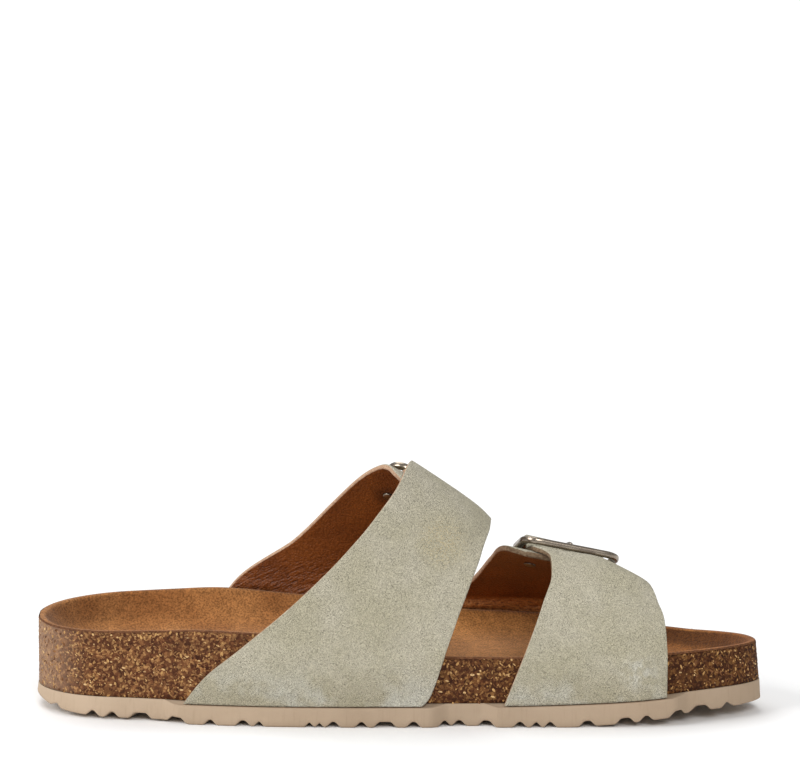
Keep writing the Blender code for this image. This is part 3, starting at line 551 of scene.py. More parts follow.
def outsole_section(station, measure, treads):
    """Closed section: tread from medial to lateral, then back over the top."""
    depth = groove_depth(station)
    fade = ease(station / SWAY_FADE) * ease((SOLE_LENGTH - station) / SWAY_FADE)
    sways = [0.0] + [GROOVE_SWAY * (1 if i % 2 else -1) for i in range(1, len(GROOVE_ROWS) - 1)] + [0.0]
    row = read(SOLE, station)
    proud = row.draft + OUTSOLE_PROUD
    offset = {side: proud + LEDGE_WIDTH * ledge(station, side) for side in (MEDIAL, LATERAL)}
    low = {side: edge_point(station, side, offset[side] + OUTSOLE_FLARE) for side in offset}
    wide = np.linalg.norm(low[LATERAL] - low[MEDIAL])
    corner = min(OUTSOLE_ROUND, wide / 4)
    points = []
    for t in np.linspace(-1, 1, TREAD_ROWS):
        sway = fade * np.interp(t, GROOVE_ROWS, sways)
        share = (1 + t * (1 - 2 * corner / max(wide, 1e-6))) / 2
        x, y = low[MEDIAL] + (low[LATERAL] - low[MEDIAL]) * share
        points.append((x + sway, y, np.interp(station + sway, measure, treads) + depth))
    base = np.interp(station, measure, treads) + depth
    for side in (LATERAL, MEDIAL):
        shelf = row.seat - LEDGE_DROP * ledge(station, side)
        foot, top = offset[side] + OUTSOLE_FLARE, offset[side]
        steps = []
        for angle in QUARTER[1:]:
            steps.append((foot - corner * (1 - math.sin(angle)), base + corner * (1 - math.cos(angle))))
        for share in FLANK_SHARES:
            steps.append((foot + (top - foot) * share, base + (shelf - base) * share))
        for angle in QUARTER:
            steps.append((top - EDGE_ROUND * (1 - math.cos(angle)),
                          shelf - EDGE_ROUND * (1 - math.sin(angle))))
        steps += [(row.draft + UPSTAND_FOOT, shelf), (row.draft - UPSTAND_TOP, row.seat)]
        if side == MEDIAL:
            steps.reverse()
        for out, height in steps:
            points.append((*edge_point(station, side, out), height))
    return points


def make_outsole(finish):
    measure = np.arange(math.floor(HEEL_BACK), SOLE_LENGTH + TREAD_STEP, TREAD_STEP)
    treads = np.array([read(SOLE, at).tread for at in measure])
    sections = [outsole_section(station, measure, treads) for station in outsole_columns()]
    count = len(sections[0])
    return make_piece("foam_outsole", np.concatenate(sections), ring_faces(len(sections), count), [finish])


# Straps


@lru_cache(maxsize=None)
def arch_path(arch, station):
    """Inner face of a strap across one station, with shares of its girth."""
    form, row = read(arch, station), read(SOLE, station)
    seat = row.seat - LEDGE_DROP + GAP
    halves = []
    flanks = ((MEDIAL, row.medial_rim, form.medial_full), (LATERAL, row.lateral_rim, form.lateral_full))
    for side, rim, full in flanks:
        lean = 1 / max(abs(edge_normal(station, side)[1]), LEAST_SQUARE)
        edge = edge_y(station, side)
        top = rim + STRAP_CLEAR
        half = []
        for k in range(WALL_STEPS):
            up = k / WALL_STEPS
            half.append((edge + side * lean * (GAP + row.draft * (1 - up)), seat + (top - seat) * up))
        reach = edge + side * lean * GAP - form.crest_y
        for k in range(ARCH_STEPS + 1):
            angle = math.pi / 2 * k / ARCH_STEPS
            half.append((form.crest_y + reach * max(math.cos(angle), 0.0) ** (2 / full),
                         top + (form.crest_z - top) * math.sin(angle) ** (2 / full)))
        halves.append(half)
    path = np.array(halves[0] + halves[1][-2::-1])
    run = np.concatenate([[0.0], np.cumsum(np.linalg.norm(np.diff(path, axis=0), axis=1))])
    return path, run / run[-1], run[-1]


class Form:
    """The foot's form under one strap, charted by station and share of the girth."""

    def __init__(self, arch):
        self.first = arch[0].station - FORM_MARGIN
        stations = np.arange(self.first, arch[-1].station + FORM_MARGIN + 1)
        shares = np.linspace(0, 1, FORM_SHARES + 1)
        chart = []
        for station in stations:
            path, run, _ = arch_path(arch, float(station))
            chart.append(np.column_stack([np.interp(shares, run, path[:, axis]) for axis in (0, 1)]))
        self.chart = np.array(chart)

    def on(self, places):
        along = np.clip(places[:, 0] - self.first, 0, len(self.chart) - CHART_END)
        round_ = np.clip(places[:, 1], 0, 1) * FORM_SHARES
        i = along.astype(int)
        j = np.minimum(round_.astype(int), FORM_SHARES - 1)
        f, g = (along - i)[:, None], (round_ - j)[:, None]
        low = self.chart[i, j] * (1 - g) + self.chart[i, j + 1] * g
        high = self.chart[i + 1, j] * (1 - g) + self.chart[i + 1, j + 1] * g
        return np.column_stack([places[:, 0], low * (1 - f) + high * f])

    def tangents(self, places):
        """Directions along the foot, round it and out of it."""
        along, share = np.array([STATION_STEP, 0.0]), np.array([0.0, SHARE_STEP])
        places = np.column_stack([places[:, 0], np.clip(places[:, 1], SHARE_STEP, 1 - SHARE_STEP)])
        forward = (self.on(places + along) - self.on(places - along)) / (2 * STATION_STEP)
        around = (self.on(places + share) - self.on(places - share)) / (2 * SHARE_STEP)
        return forward, around, unit(np.cross(forward, around))

    def over(self, places, heights):
        return self.on(places) + self.tangents(places)[2] * np.reshape(heights, (-1, 1))

    def walk(self, places, directions, distances):
        """Places that are reached by going straight over the form."""
        stride = np.abs(distances) / WALK_STEPS
        for _ in range(WALK_STEPS):
            forward, around, _ = self.tangents(places)
            aim = directions * np.sign(distances)[:, None]
            ff, fa = np.sum(forward * forward, 1), np.sum(forward * around, 1)
            aa = np.sum(around * around, 1)
            fd, ad = np.sum(forward * aim, 1), np.sum(around * aim, 1)
            lean = ff * aa - fa * fa
            step = np.column_stack([(aa * fd - fa * ad) / lean, (ff * ad - fa * fd) / lean])
            went = np.linalg.norm(forward * step[:, :1] + around * step[:, 1:], axis=1)
            places = places + step * (stride / np.maximum(went, 1e-9))[:, None]
        return places


def evened(*values):
    """Values as arrays of one length."""
    return np.broadcast_arrays(*(np.atleast_1d(np.asarray(value, float)) for value in values))


class Fitting:
    """Local places of one buckle: a across the strap, b along it from the near bar."""

    def __init__(self, band, form):
        self.form = form
        self.start = np.array([[band.middle, band.near_bar]])
        forward, around, normal = form.tangents(self.start)
        along = unit(unit(around) + unit(forward) * band.heading)
        self.across = np.cross(along, normal)
        self.girth = arch_path(band.arch, band.middle)[2]
        self.lap = (band.lateral[0].share - band.near_bar) * self.girth

    def line(self, b):
        """Places on the middle line of the strap."""
        places = np.repeat(self.start, len(b), 0)
        for _ in range(LINE_STEPS):
            normal = self.form.tangents(places)[2]
            places = self.form.walk(places, unit(np.cross(normal, self.across)), b / LINE_STEPS)
        return places

    def points(self, a, b, height):
        """Points over the form."""
        a, b, height = evened(a, b, height)
        places = self.form.walk(self.line(b), np.repeat(self.across, len(b), 0), a)
        return self.form.over(places, height)

    def bar_points(self, a, b, height):
        """Points straight across the strap, at heights over its middle, and their normals."""
        a, b, height = evened(a, b, height)
        middle = self.line(b)
        normal = self.form.tangents(middle)[2]
        across = unit(self.across - normal * np.sum(normal * self.across, 1)[:, None])
        return self.form.on(middle) + normal * height[:, None] + across * a[:, None], normal

    def normals(self, a, b):
        return unit(self.points(a, b, 1.0) - self.points(a, b, 0.0))


def lap_lift(b, lap):
    """Height of the medial half over the form: over the lateral half, then over the pivot bar."""
    lapped = STRAP_THICKNESS + LAP_REST
    lift = lapped * ease((b - lap + LAP_START) / LAP_RAMP)
    if b <= FRAME_DEPTH:
        return lift + (PIVOT_LIFT - lapped) * ease((b - FRAME_DEPTH + PIVOT_START) / PIVOT_RAMP)
    loose = STRAP_THICKNESS + GAP
    return PIVOT_LIFT + (loose - PIVOT_LIFT) * ease((b - FRAME_DEPTH - TONGUE_START) / TONGUE_RAMP)


def row_places(row, share):
    stations = row.back + (row.front - row.back) * np.arange(STRAP_COLUMNS + 1) / STRAP_COLUMNS
    return np.column_stack([stations, np.full(STRAP_COLUMNS + 1, share)])


def medial_grid(band, form, fitting):
    """Inner face of the medial half, from the sole to the tip of its tongue."""
    grid = []
    for share in np.linspace(0, band.medial[-1].share, MEDIAL_ROWS + 1):
        height = lap_lift((share - band.near_bar) * fitting.girth, fitting.lap)
        places = row_places(read(band.medial, share), share)
        grid.append(form.over(places, np.full(len(places), height)))
    straight = TONGUE_LENGTH - TONGUE_TIP
    tongue = [(b, TONGUE_HALF) for b in np.linspace(0, straight, TONGUE_ROWS + 1)]
    for angle in np.radians(np.linspace(0, TONGUE_TURN, TIP_ROWS + 1))[1:]:
        tongue.append((straight + TONGUE_TIP * math.sin(angle), TONGUE_HALF * math.cos(angle)))
    for b, half in tongue:
        grid.append(fitting.points(np.linspace(-half, half, STRAP_COLUMNS + 1), b, lap_lift(b, fitting.lap)))
    return np.array(grid)


def lateral_grid(band, form):
    """Inner face of the lateral half, from its end under the lap to the sole."""
    grid = []
    across = np.arange(STRAP_COLUMNS + 1) / STRAP_COLUMNS
    for share in np.linspace(band.lateral[0].share, 1, LATERAL_ROWS + 1):
        sag = band.sag * ease((band.sag_share - share) / SAG_RAMP)
        grid.append(form.over(row_places(read(band.lateral, share), share), -sag * (1 - across) ** 2))
    return np.array(grid)


def resample(grid, count):
    """Smooth curves through the rows of a grid, at even steps."""
    gaps = np.linalg.norm(np.diff(grid, axis=0), axis=2).mean(1)
    at = np.concatenate([[0.0], np.cumsum(gaps)])
    rise = np.diff(grid, axis=0) / gaps[:, None, None]
    before, after = gaps[:-1, None, None], gaps[1:, None, None]
    inner = (rise[:-1] * after + rise[1:] * before) / (before + after)
    slope = np.concatenate([rise[:1], inner, rise[-1:]])
    new = np.linspace(0, at[-1], count)
    i = np.clip(np.searchsorted(at, new, side="right") - 1, 0, len(gaps) - 1)
    wide = gaps[i][:, None, None]
    u = (new - at[i])[:, None, None] / wide
    return ((1 + 2 * u) * (1 - u) ** 2 * grid[i] + u * (1 - u) ** 2 * wide * slope[i]
            + u * u * (3 - 2 * u) * grid[i + 1] + u * u * (u - 1) * wide * slope[i + 1])


def finer(grid):
    """The same sheet at the step of the leather's mesh."""
    for _ in range(2):
        longest = np.linalg.norm(np.diff(grid, axis=0), axis=2).sum(0).max()
        grid = np.swapaxes(resample(grid, int(longest / LEATHER_STEP) + 2), 0, 1)
    return grid


def sheet_normals(grid):
    return unit(np.cross(np.gradient(grid, axis=1), np.gradient(grid, axis=0)))


def creased(grid, half, from_sole):
    """Sheet with its own soft troughs and ridges pressed in."""
    steps = np.linalg.norm(np.diff(grid, axis=0), axis=2)
    rise = np.concatenate([np.zeros((1, grid.shape[1])), np.cumsum(steps, 0)])
    if not from_sole:
        rise = rise[-1:] - rise
    steps = np.linalg.norm(np.diff(grid, axis=1), axis=2)
    across = np.concatenate([np.zeros((grid.shape[0], 1)), np.cumsum(steps, 1)], 1)
    push = np.zeros(grid.shape[:2])
    for crease in CREASES:
        if crease.half == half:
            turn = math.radians(crease.turn)
            up, over = rise - crease.rise, across - crease.across
            along = over * math.cos(turn) + up * math.sin(turn)
            off = up * math.cos(turn) - over * math.sin(turn)
            push += crease.height * np.exp(-(along / crease.length) ** 2 - (off / crease.width) ** 2)
    return grid + sheet_normals(grid) * push[:, :, None]


def puckered(grid, height):
    """How far the lining of a lateral half bulges into the shoe, in a puckered fold over the rim."""
    stations = np.arange(math.floor(HEEL_BACK), SOLE_LENGTH)
    rims = [read(SOLE, station).lateral_rim for station in stations]
    over = grid[:, :, 2] - np.interp(grid[:, :, 0], stations, rims) - PUCKER_RISE
    waves = sum(np.sin(math.tau * grid[:, :, 0] / spacing) for spacing in PUCKER_SPACINGS)
    fold = np.exp(-(over / PUCKER_WIDTH) ** 2)
    return height * fold * (1 + PUCKER_SHARE * waves)


def leather_piece(name, grid, thickness, finishes, raw, bulge=None):
    """Closed leather from its inner face, its edges raw along a share of its rows and suede beyond."""
    normals = sheet_normals(grid)
    ways = unit(np.gradient(grid, axis=1))
    corner = min(EDGE_ROUND, thickness / LEAST_ROUNDS)
    inner = grid + ways * np.linspace(corner, -corner, grid.shape[1])[None, :, None]
    outer = inner + normals * thickness
    if bulge is not None:
        inner[1:-1, 1:-1] -= (normals * bulge[:, :, None])[1:-1, 1:-1]
    arcs = {}
    for end, sign in ((-1, 1), (0, -1)):
        steps = []
        for angle in QUARTER[1:]:
            steps.append((-corner * (1 - math.sin(angle)), thickness - corner * (1 - math.cos(angle))))
        steps += [(out, thickness - height) for out, height in reversed(steps)]
        edge = [grid[:, end] + ways[:, end] * sign * out + normals[:, end] * height for out, height in steps]
        arcs[end] = np.stack(edge, 1)
    loops = np.concatenate([outer, arcs[-1], inner[:, ::-1], arcs[0][:, ::-1]], 1)
    rows, count = loops.shape[:2]
    columns, arc = grid.shape[1], arcs[0].shape[1]
    around = np.arange(count)
    lined = columns + arc
    tint_of = np.ones((2, count), int)
    for sewn in (0, 1):
        tint_of[sewn, around < columns + ARC_STEPS - 1 + sewn] = 0
        tint_of[sewn, around > count - ARC_STEPS - sewn] = 0
    tint_of[:, (around >= lined) & (around < lined + columns - 1)] = 2
    faces = ring_faces(rows, count)
    tints = [int(tint_of[int(r >= raw * rows), i]) for r in range(rows - 1) for i in around]
    for r in (0, rows - 1):
        base = r * count
        mirror = [base + 2 * columns + arc - 1 - c for c in range(columns)]
        for c in range(columns - 1):
            faces.append((base + c, base + c + 1, mirror[c + 1], mirror[c]))
            tints.append(1)
        faces.append([base + i for i in range(columns - 1, columns + arc + 1)])
        faces.append([base + i for i in range(2 * columns + arc - 1, count)] + [base])
        tints += [1, 1]
    return make_piece(name, loops.reshape(-1, 3), faces, finishes, tints)


# Buckles


def sweep_piece(name, path, sides, ups, section, closed, finish):
    """Bar of a closed section, carried along a path between two directions."""
    rings = []
    for point, side, up in zip(path, sides, ups):
        rings.append(point + section[:, :1] * side + section[:, 1:] * up)
    if closed:
        rings.append(rings[0])
    faces = (ring_faces if closed else capped_faces)(len(rings), len(section))
    return make_piece(name, np.concatenate(rings), faces, [finish])


def oval(half_wide, half_high, power, count):
    """Section between an ellipse and a rectangle."""
    turns = 2 * math.pi * np.arange(count) / count
    wide = np.sign(np.cos(turns)) * np.abs(np.cos(turns)) ** (2 / power) * half_wide
    high = np.sign(np.sin(turns)) * np.abs(np.sin(turns)) ** (2 / power) * half_high
    return np.column_stack([wide, high])


def make_frame(band, fitting, finish):
    """Rounded ring, the near bar over the strap and the pivot bar under it."""
    half = FRAME_WIDTH / 2 - BAR_RADIUS
    plan = []
    corners = ((half, 0.0, -90), (half, FRAME_DEPTH, 0), (-half, FRAME_DEPTH, 90), (-half, 0.0, 180))
    for a, b, turn in corners:
        a_mid = a - math.copysign(FRAME_CORNER, a)
        b_mid = b + (FRAME_CORNER if b == 0 else -FRAME_CORNER)
        for angle in np.radians(np.linspace(turn, turn + 90, CORNER_STEPS)):
            plan.append((a_mid + FRAME_CORNER * math.cos(angle), b_mid + FRAME_CORNER * math.sin(angle)))
        if turn in (0, 180):
            plan += [(a_mid * (1 - share), b) for share in np.linspace(0, 2, BAR_STEPS)[1:-1]]
        else:
            plan += [(a, b_mid + (FRAME_DEPTH - 2 * FRAME_CORNER) * share * (1 if b == 0 else -1))
                     for share in np.linspace(0, 1, SIDE_STEPS)[1:-1]]
    plan = np.array(plan)
    height = NEAR_BAR_HEIGHT + (PIVOT_BAR_HEIGHT - NEAR_BAR_HEIGHT) * plan[:, 1] / FRAME_DEPTH
    path, normals = fitting.bar_points(plan[:, 0], plan[:, 1], height)
    ways = unit(np.roll(path, -1, 0) - np.roll(path, 1, 0))
    sides = unit(np.cross(ways, normals))
    ups = np.cross(sides, ways)
    section = oval(BAR_RADIUS * BAR_WIDER, BAR_RADIUS * BAR_FLATTER, BAR_SQUARE, BAR_SIDES)
    return sweep_piece(f"{band.name}_buckle_ring", path, sides, ups, section, True, finish)


def make_prong(band, fitting, finish):
    """Hook over the pivot bar, through the strap, to the tip on the near bar."""
    hook = BAR_RADIUS + PRONG_PLAY + PRONG_RADIUS
    knots = []
    for turn in PRONG_TURNS:
        angle = math.radians(turn)
        knots.append((FRAME_DEPTH - hook * math.cos(angle), PIVOT_BAR_HEIGHT + hook * math.sin(angle)))
    knots.append((FRAME_DEPTH * PRONG_RISE[0], NEAR_BAR_HEIGHT + hook * PRONG_RISE[1]))
    knots += [(b, NEAR_BAR_HEIGHT + hook + rise) for b, rise in PRONG_TIP]
    knots = np.array(knots)
    points = fitting.points(0.0, knots[:, 0], knots[:, 1])
    path = resample(points[:, None], PRONG_STEPS)[:, 0]
    ways = unit(np.gradient(path, axis=0))
    sides = np.repeat(fitting.across, len(path), 0)
    ups = unit(np.cross(ways, sides))
    sides = np.cross(ups, ways)
    section = oval(PRONG_RADIUS, PRONG_RADIUS, PRONG_SQUARE, PRONG_SIDES)
    along = np.linspace(0, 1, len(path))
    taper = np.minimum(1.0, np.sqrt(np.clip((PRONG_POINT - along) / PRONG_TAPER, 0, 1)))[:, None]
    return sweep_piece(f"{band.name}_buckle_pin", path, sides * taper, ups * taper, section, False, finish)


def make_keeper(band, fitting, finishes):
    """Leather loop that holds the pivot bar to the lateral half."""
    floor = STRAP_THICKNESS + GAP
    hug = BAR_RADIUS + GAP
    profile = [(FRAME_DEPTH + reach, floor) for reach in KEEPER_TAB]
    for turn in KEEPER_TURNS:
        angle = math.radians(turn)
        profile.append((FRAME_DEPTH - hug * math.cos(angle), PIVOT_BAR_HEIGHT + hug * math.sin(angle)))
    profile.append((FRAME_DEPTH - hug, floor + KEEPER_LIP))
    profile.reverse()
    across = np.linspace(-KEEPER_HALF, KEEPER_HALF, KEEPER_COLUMNS)
    grid = np.array([fitting.bar_points(across, b, height)[0] for b, height in profile])
    return leather_piece(f"{band.name}_keeper_loop", finer(grid), KEEPER_THICKNESS, finishes, 1.0)


def make_rivet(band, fitting, end, across, finish):
    """Domed head against the lining."""
    centre = fitting.points(across, band.rivet_along, 0.0)[0]
    normal = fitting.normals(across, band.rivet_along)[0]
    side = unit(np.cross(normal, (0.0, 0.0, 1.0)))
    up = np.cross(side, normal)
    rows = [(RIVET_BACK, -RIVET_SEAT), (1.0, -RIVET_SEAT)]
    for angle in np.radians(RIVET_TURNS):
        rows.append((math.cos(angle), -GAP - RIVET_HEIGHT * math.sin(angle)))
    turns = 2 * math.pi * np.arange(RIVET_SIDES) / RIVET_SIDES
    rings = []
    for share, height in rows:
        wheel = np.cos(turns)[:, None] * side + np.sin(turns)[:, None] * up
        rings.append(centre + RIVET_RADIUS * share * wheel + normal * height)
    faces = capped_faces(len(rings), RIVET_SIDES)
    return make_piece(f"{band.name}_{end}_rivet_head", np.concatenate(rings), faces, [finish])


# Geometry Nodes


def new_tree(name, inputs):
    """Node group with named inputs and one geometry output."""
    tree = bpy.data.node_groups.new(name, "GeometryNodeTree")
    for label, kind in inputs:
        tree.interface.new_socket(label, in_out="INPUT", socket_type=kind)
    tree.interface.new_socket("Geometry", in_out="OUTPUT", socket_type="NodeSocketGeometry")
    start = tree.nodes.new("NodeGroupInput")
    end = tree.nodes.new("NodeGroupOutput")
    return tree, start.outputs, end.inputs


def run_tree(piece, tree, values):
    """Gives a piece the mesh that a tree makes of it."""
    step = piece.modifiers.new(tree.name, "NODES")
    step.node_group = tree
    for item in tree.interface.items_tree:
        if item.in_out == "INPUT" and item.name in values:
            step[item.identifier] = values[item.name]
    depsgraph = bpy.context.evaluated_depsgraph_get()
    mesh = bpy.data.meshes.new_from_object(piece.evaluated_get(depsgraph), depsgraph=depsgraph)
    piece.modifiers.clear()
    old = piece.data
    piece.data = mesh
    bpy.data.meshes.remove(old)
    mesh.name = piece.name
    return piece


def punch_tree():
    """Round holes through a strap, one at each point of another object, along its axis attribute."""
    tree, start, end = new_tree("punched_holes", (
        ("Geometry", "NodeSocketGeometry"), ("Holes", "NodeSocketObject"), ("Radius", "NodeSocketFloat"),
        ("Reach", "NodeSocketFloat"), ("Cut Edge", "NodeSocketMaterial")))
    link = tree.links.new
    where = tree.nodes.new("GeometryNodeObjectInfo")
    axis = tree.nodes.new("GeometryNodeInputNamedAttribute")
    axis.data_type = "FLOAT_VECTOR"
    axis.inputs["Name"].default_value = "axis"
    turn = tree.nodes.new("FunctionNodeAlignRotationToVector")
    turn.axis = "Z"
    punch = tree.nodes.new("GeometryNodeMeshCylinder")
    punch.inputs["Vertices"].default_value = HOLE_SIDES
    paint = tree.nodes.new("GeometryNodeSetMaterial")
    place = tree.nodes.new("GeometryNodeInstanceOnPoints")
    real = tree.nodes.new("GeometryNodeRealizeInstances")
    cut = tree.nodes.new("GeometryNodeMeshBoolean")
    cut.operation = "DIFFERENCE"
    cut.solver = "EXACT"
    link(start["Holes"], where.inputs["Object"])
    link(start["Radius"], punch.inputs["Radius"])
    link(start["Reach"], punch.inputs["Depth"])
    link(start["Cut Edge"], paint.inputs["Material"])
    link(axis.outputs["Attribute"], turn.inputs["Vector"])
    link(punch.outputs["Mesh"], paint.inputs["Geometry"])
    link(where.outputs["Geometry"], place.inputs["Points"])
    link(paint.outputs["Geometry"], place.inputs["Instance"])
    link(turn.outputs["Rotation"], place.inputs["Rotation"])
    link(place.outputs["Instances"], real.inputs["Geometry"])
    link(start["Geometry"], cut.inputs["Mesh 1"])
    link(real.outputs["Geometry"], cut.inputs["Mesh 2"])
    link(cut.outputs["Mesh"], end["Geometry"])
    return tree


def punch_tongue(strap, fitting, tree, cut_edge):
    """Punches the tongue's holes."""
    places = np.array(HOLE_PLACES)
    heights = np.array([lap_lift(b, fitting.lap) for b in places]) + STRAP_THICKNESS / 2
    centres = fitting.points(0.0, places, heights)
    mesh = bpy.data.meshes.new("holes")
    mesh.from_pydata(placed(centres).tolist(), [], [])
    axis = mesh.attributes.new("axis", "FLOAT_VECTOR", "POINT")
    axis.data.foreach_set("vector", fitting.normals(0.0, places).ravel())
    holes = bpy.data.objects.new("holes", mesh)
    bpy.context.scene.collection.objects.link(holes)
    run_tree(strap, tree, {
        "Holes": holes, "Radius": HOLE_RADIUS * MM, "Reach": HOLE_REACH * MM, "Cut Edge": cut_edge})
    bpy.data.objects.remove(holes, do_unlink=True)


def granule_tree():
    """Flat cork granules, sunk in a wall at random, with a tint for each."""
    tree, start, end = new_tree("cork_granules", (
        ("Geometry", "NodeSocketGeometry"), ("Density", "NodeSocketFloat"), ("Smallest", "NodeSocketVector"),
        ("Largest", "NodeSocketVector"), ("Roughen", "NodeSocketFloat"), ("Grain", "NodeSocketFloat"),
        ("Seed", "NodeSocketInt"), ("Finish", "NodeSocketMaterial")))
    link = tree.links.new
    scatter = tree.nodes.new("GeometryNodeDistributePointsOnFaces")
    size = tree.nodes.new("FunctionNodeRandomValue")
    size.data_type = "FLOAT_VECTOR"
    spin = tree.nodes.new("FunctionNodeRandomValue")
    spin.inputs["Max"].default_value = math.tau
    tint = tree.nodes.new("FunctionNodeRandomValue")
    turn = tree.nodes.new("FunctionNodeAxisAngleToRotation")
    rotate = tree.nodes.new("FunctionNodeRotateRotation")
    rotate.rotation_space = "LOCAL"
    lump = tree.nodes.new("GeometryNodeMeshIcoSphere")
    lump.inputs["Radius"].default_value = 1.0
    lump.inputs["Subdivisions"].default_value = 1
    place = tree.nodes.new("GeometryNodeInstanceOnPoints")
    keep = tree.nodes.new("GeometryNodeStoreNamedAttribute")
    keep.domain = "INSTANCE"
    keep.inputs["Name"].default_value = "tint"
    real = tree.nodes.new("GeometryNodeRealizeInstances")
    noise = tree.nodes.new("ShaderNodeTexNoise")
    centre = tree.nodes.new("ShaderNodeVectorMath")
    centre.operation = "SUBTRACT"
    centre.inputs[1].default_value = (0.5, 0.5, 0.5)
    push = tree.nodes.new("ShaderNodeVectorMath")
    push.operation = "SCALE"
    move = tree.nodes.new("GeometryNodeSetPosition")
    paint = tree.nodes.new("GeometryNodeSetMaterial")
    link(start["Geometry"], scatter.inputs["Mesh"])
    link(start["Density"], scatter.inputs["Density"])
    link(start["Seed"], scatter.inputs["Seed"])
    link(start["Smallest"], size.inputs["Min"])
    link(start["Largest"], size.inputs["Max"])
    link(start["Roughen"], push.inputs["Scale"])
    link(start["Grain"], noise.inputs["Scale"])
    link(start["Finish"], paint.inputs["Material"])
    link(spin.outputs["Value"], turn.inputs["Angle"])
    link(scatter.outputs["Rotation"], rotate.inputs["Rotation"])
    link(turn.outputs["Rotation"], rotate.inputs["Rotate By"])
    link(scatter.outputs["Points"], place.inputs["Points"])
    link(lump.outputs["Mesh"], place.inputs["Instance"])
    link(rotate.outputs["Rotation"], place.inputs["Rotation"])
    link(size.outputs["Value"], place.inputs["Scale"])
    link(place.outputs["Instances"], keep.inputs["Geometry"])
    link(tint.outputs["Value"], keep.inputs["Value"])
    link(keep.outputs["Geometry"], real.inputs["Geometry"])
    link(real.outputs["Geometry"], move.inputs["Geometry"])
    link(noise.outputs["Color"], centre.inputs[0])
    link(centre.outputs["Vector"], push.inputs["Vector"])
    link(push.outputs["Vector"], move.inputs["Offset"])
    link(move.outputs["Geometry"], paint.inputs["Geometry"])
    link(paint.outputs["Geometry"], end["Geometry"])
    return tree


def make_granules(outline, tree, finish):
    wall = cork_wall(outline)
    count = len(wall[0])
    piece = make_piece("cork_granules", np.concatenate(wall), ring_faces(len(wall), count), [finish])
    return run_tree(piece, tree, {
        "Density": GRANULE_DENSITY, "Smallest": [size * MM for size in GRANULE_SMALLEST],
        "Largest": [size * MM for size in GRANULE_LARGEST], "Roughen": GRANULE_ROUGHEN * MM,
        "Grain": GRANULE_GRAIN, "Seed": GRANULE_SEED, "Finish": finish})


# Finishes


def tone(code):
    """Linear colour of a six digit code."""
    parts = [int(code[i:i + 2], 16) / 255 for i in (0, 2, 4)]
    return tuple(v / 12.92 if v <= 0.04045 else ((v + 0.055) / 1.055) ** 2.4 for v in parts) + (1.0,)


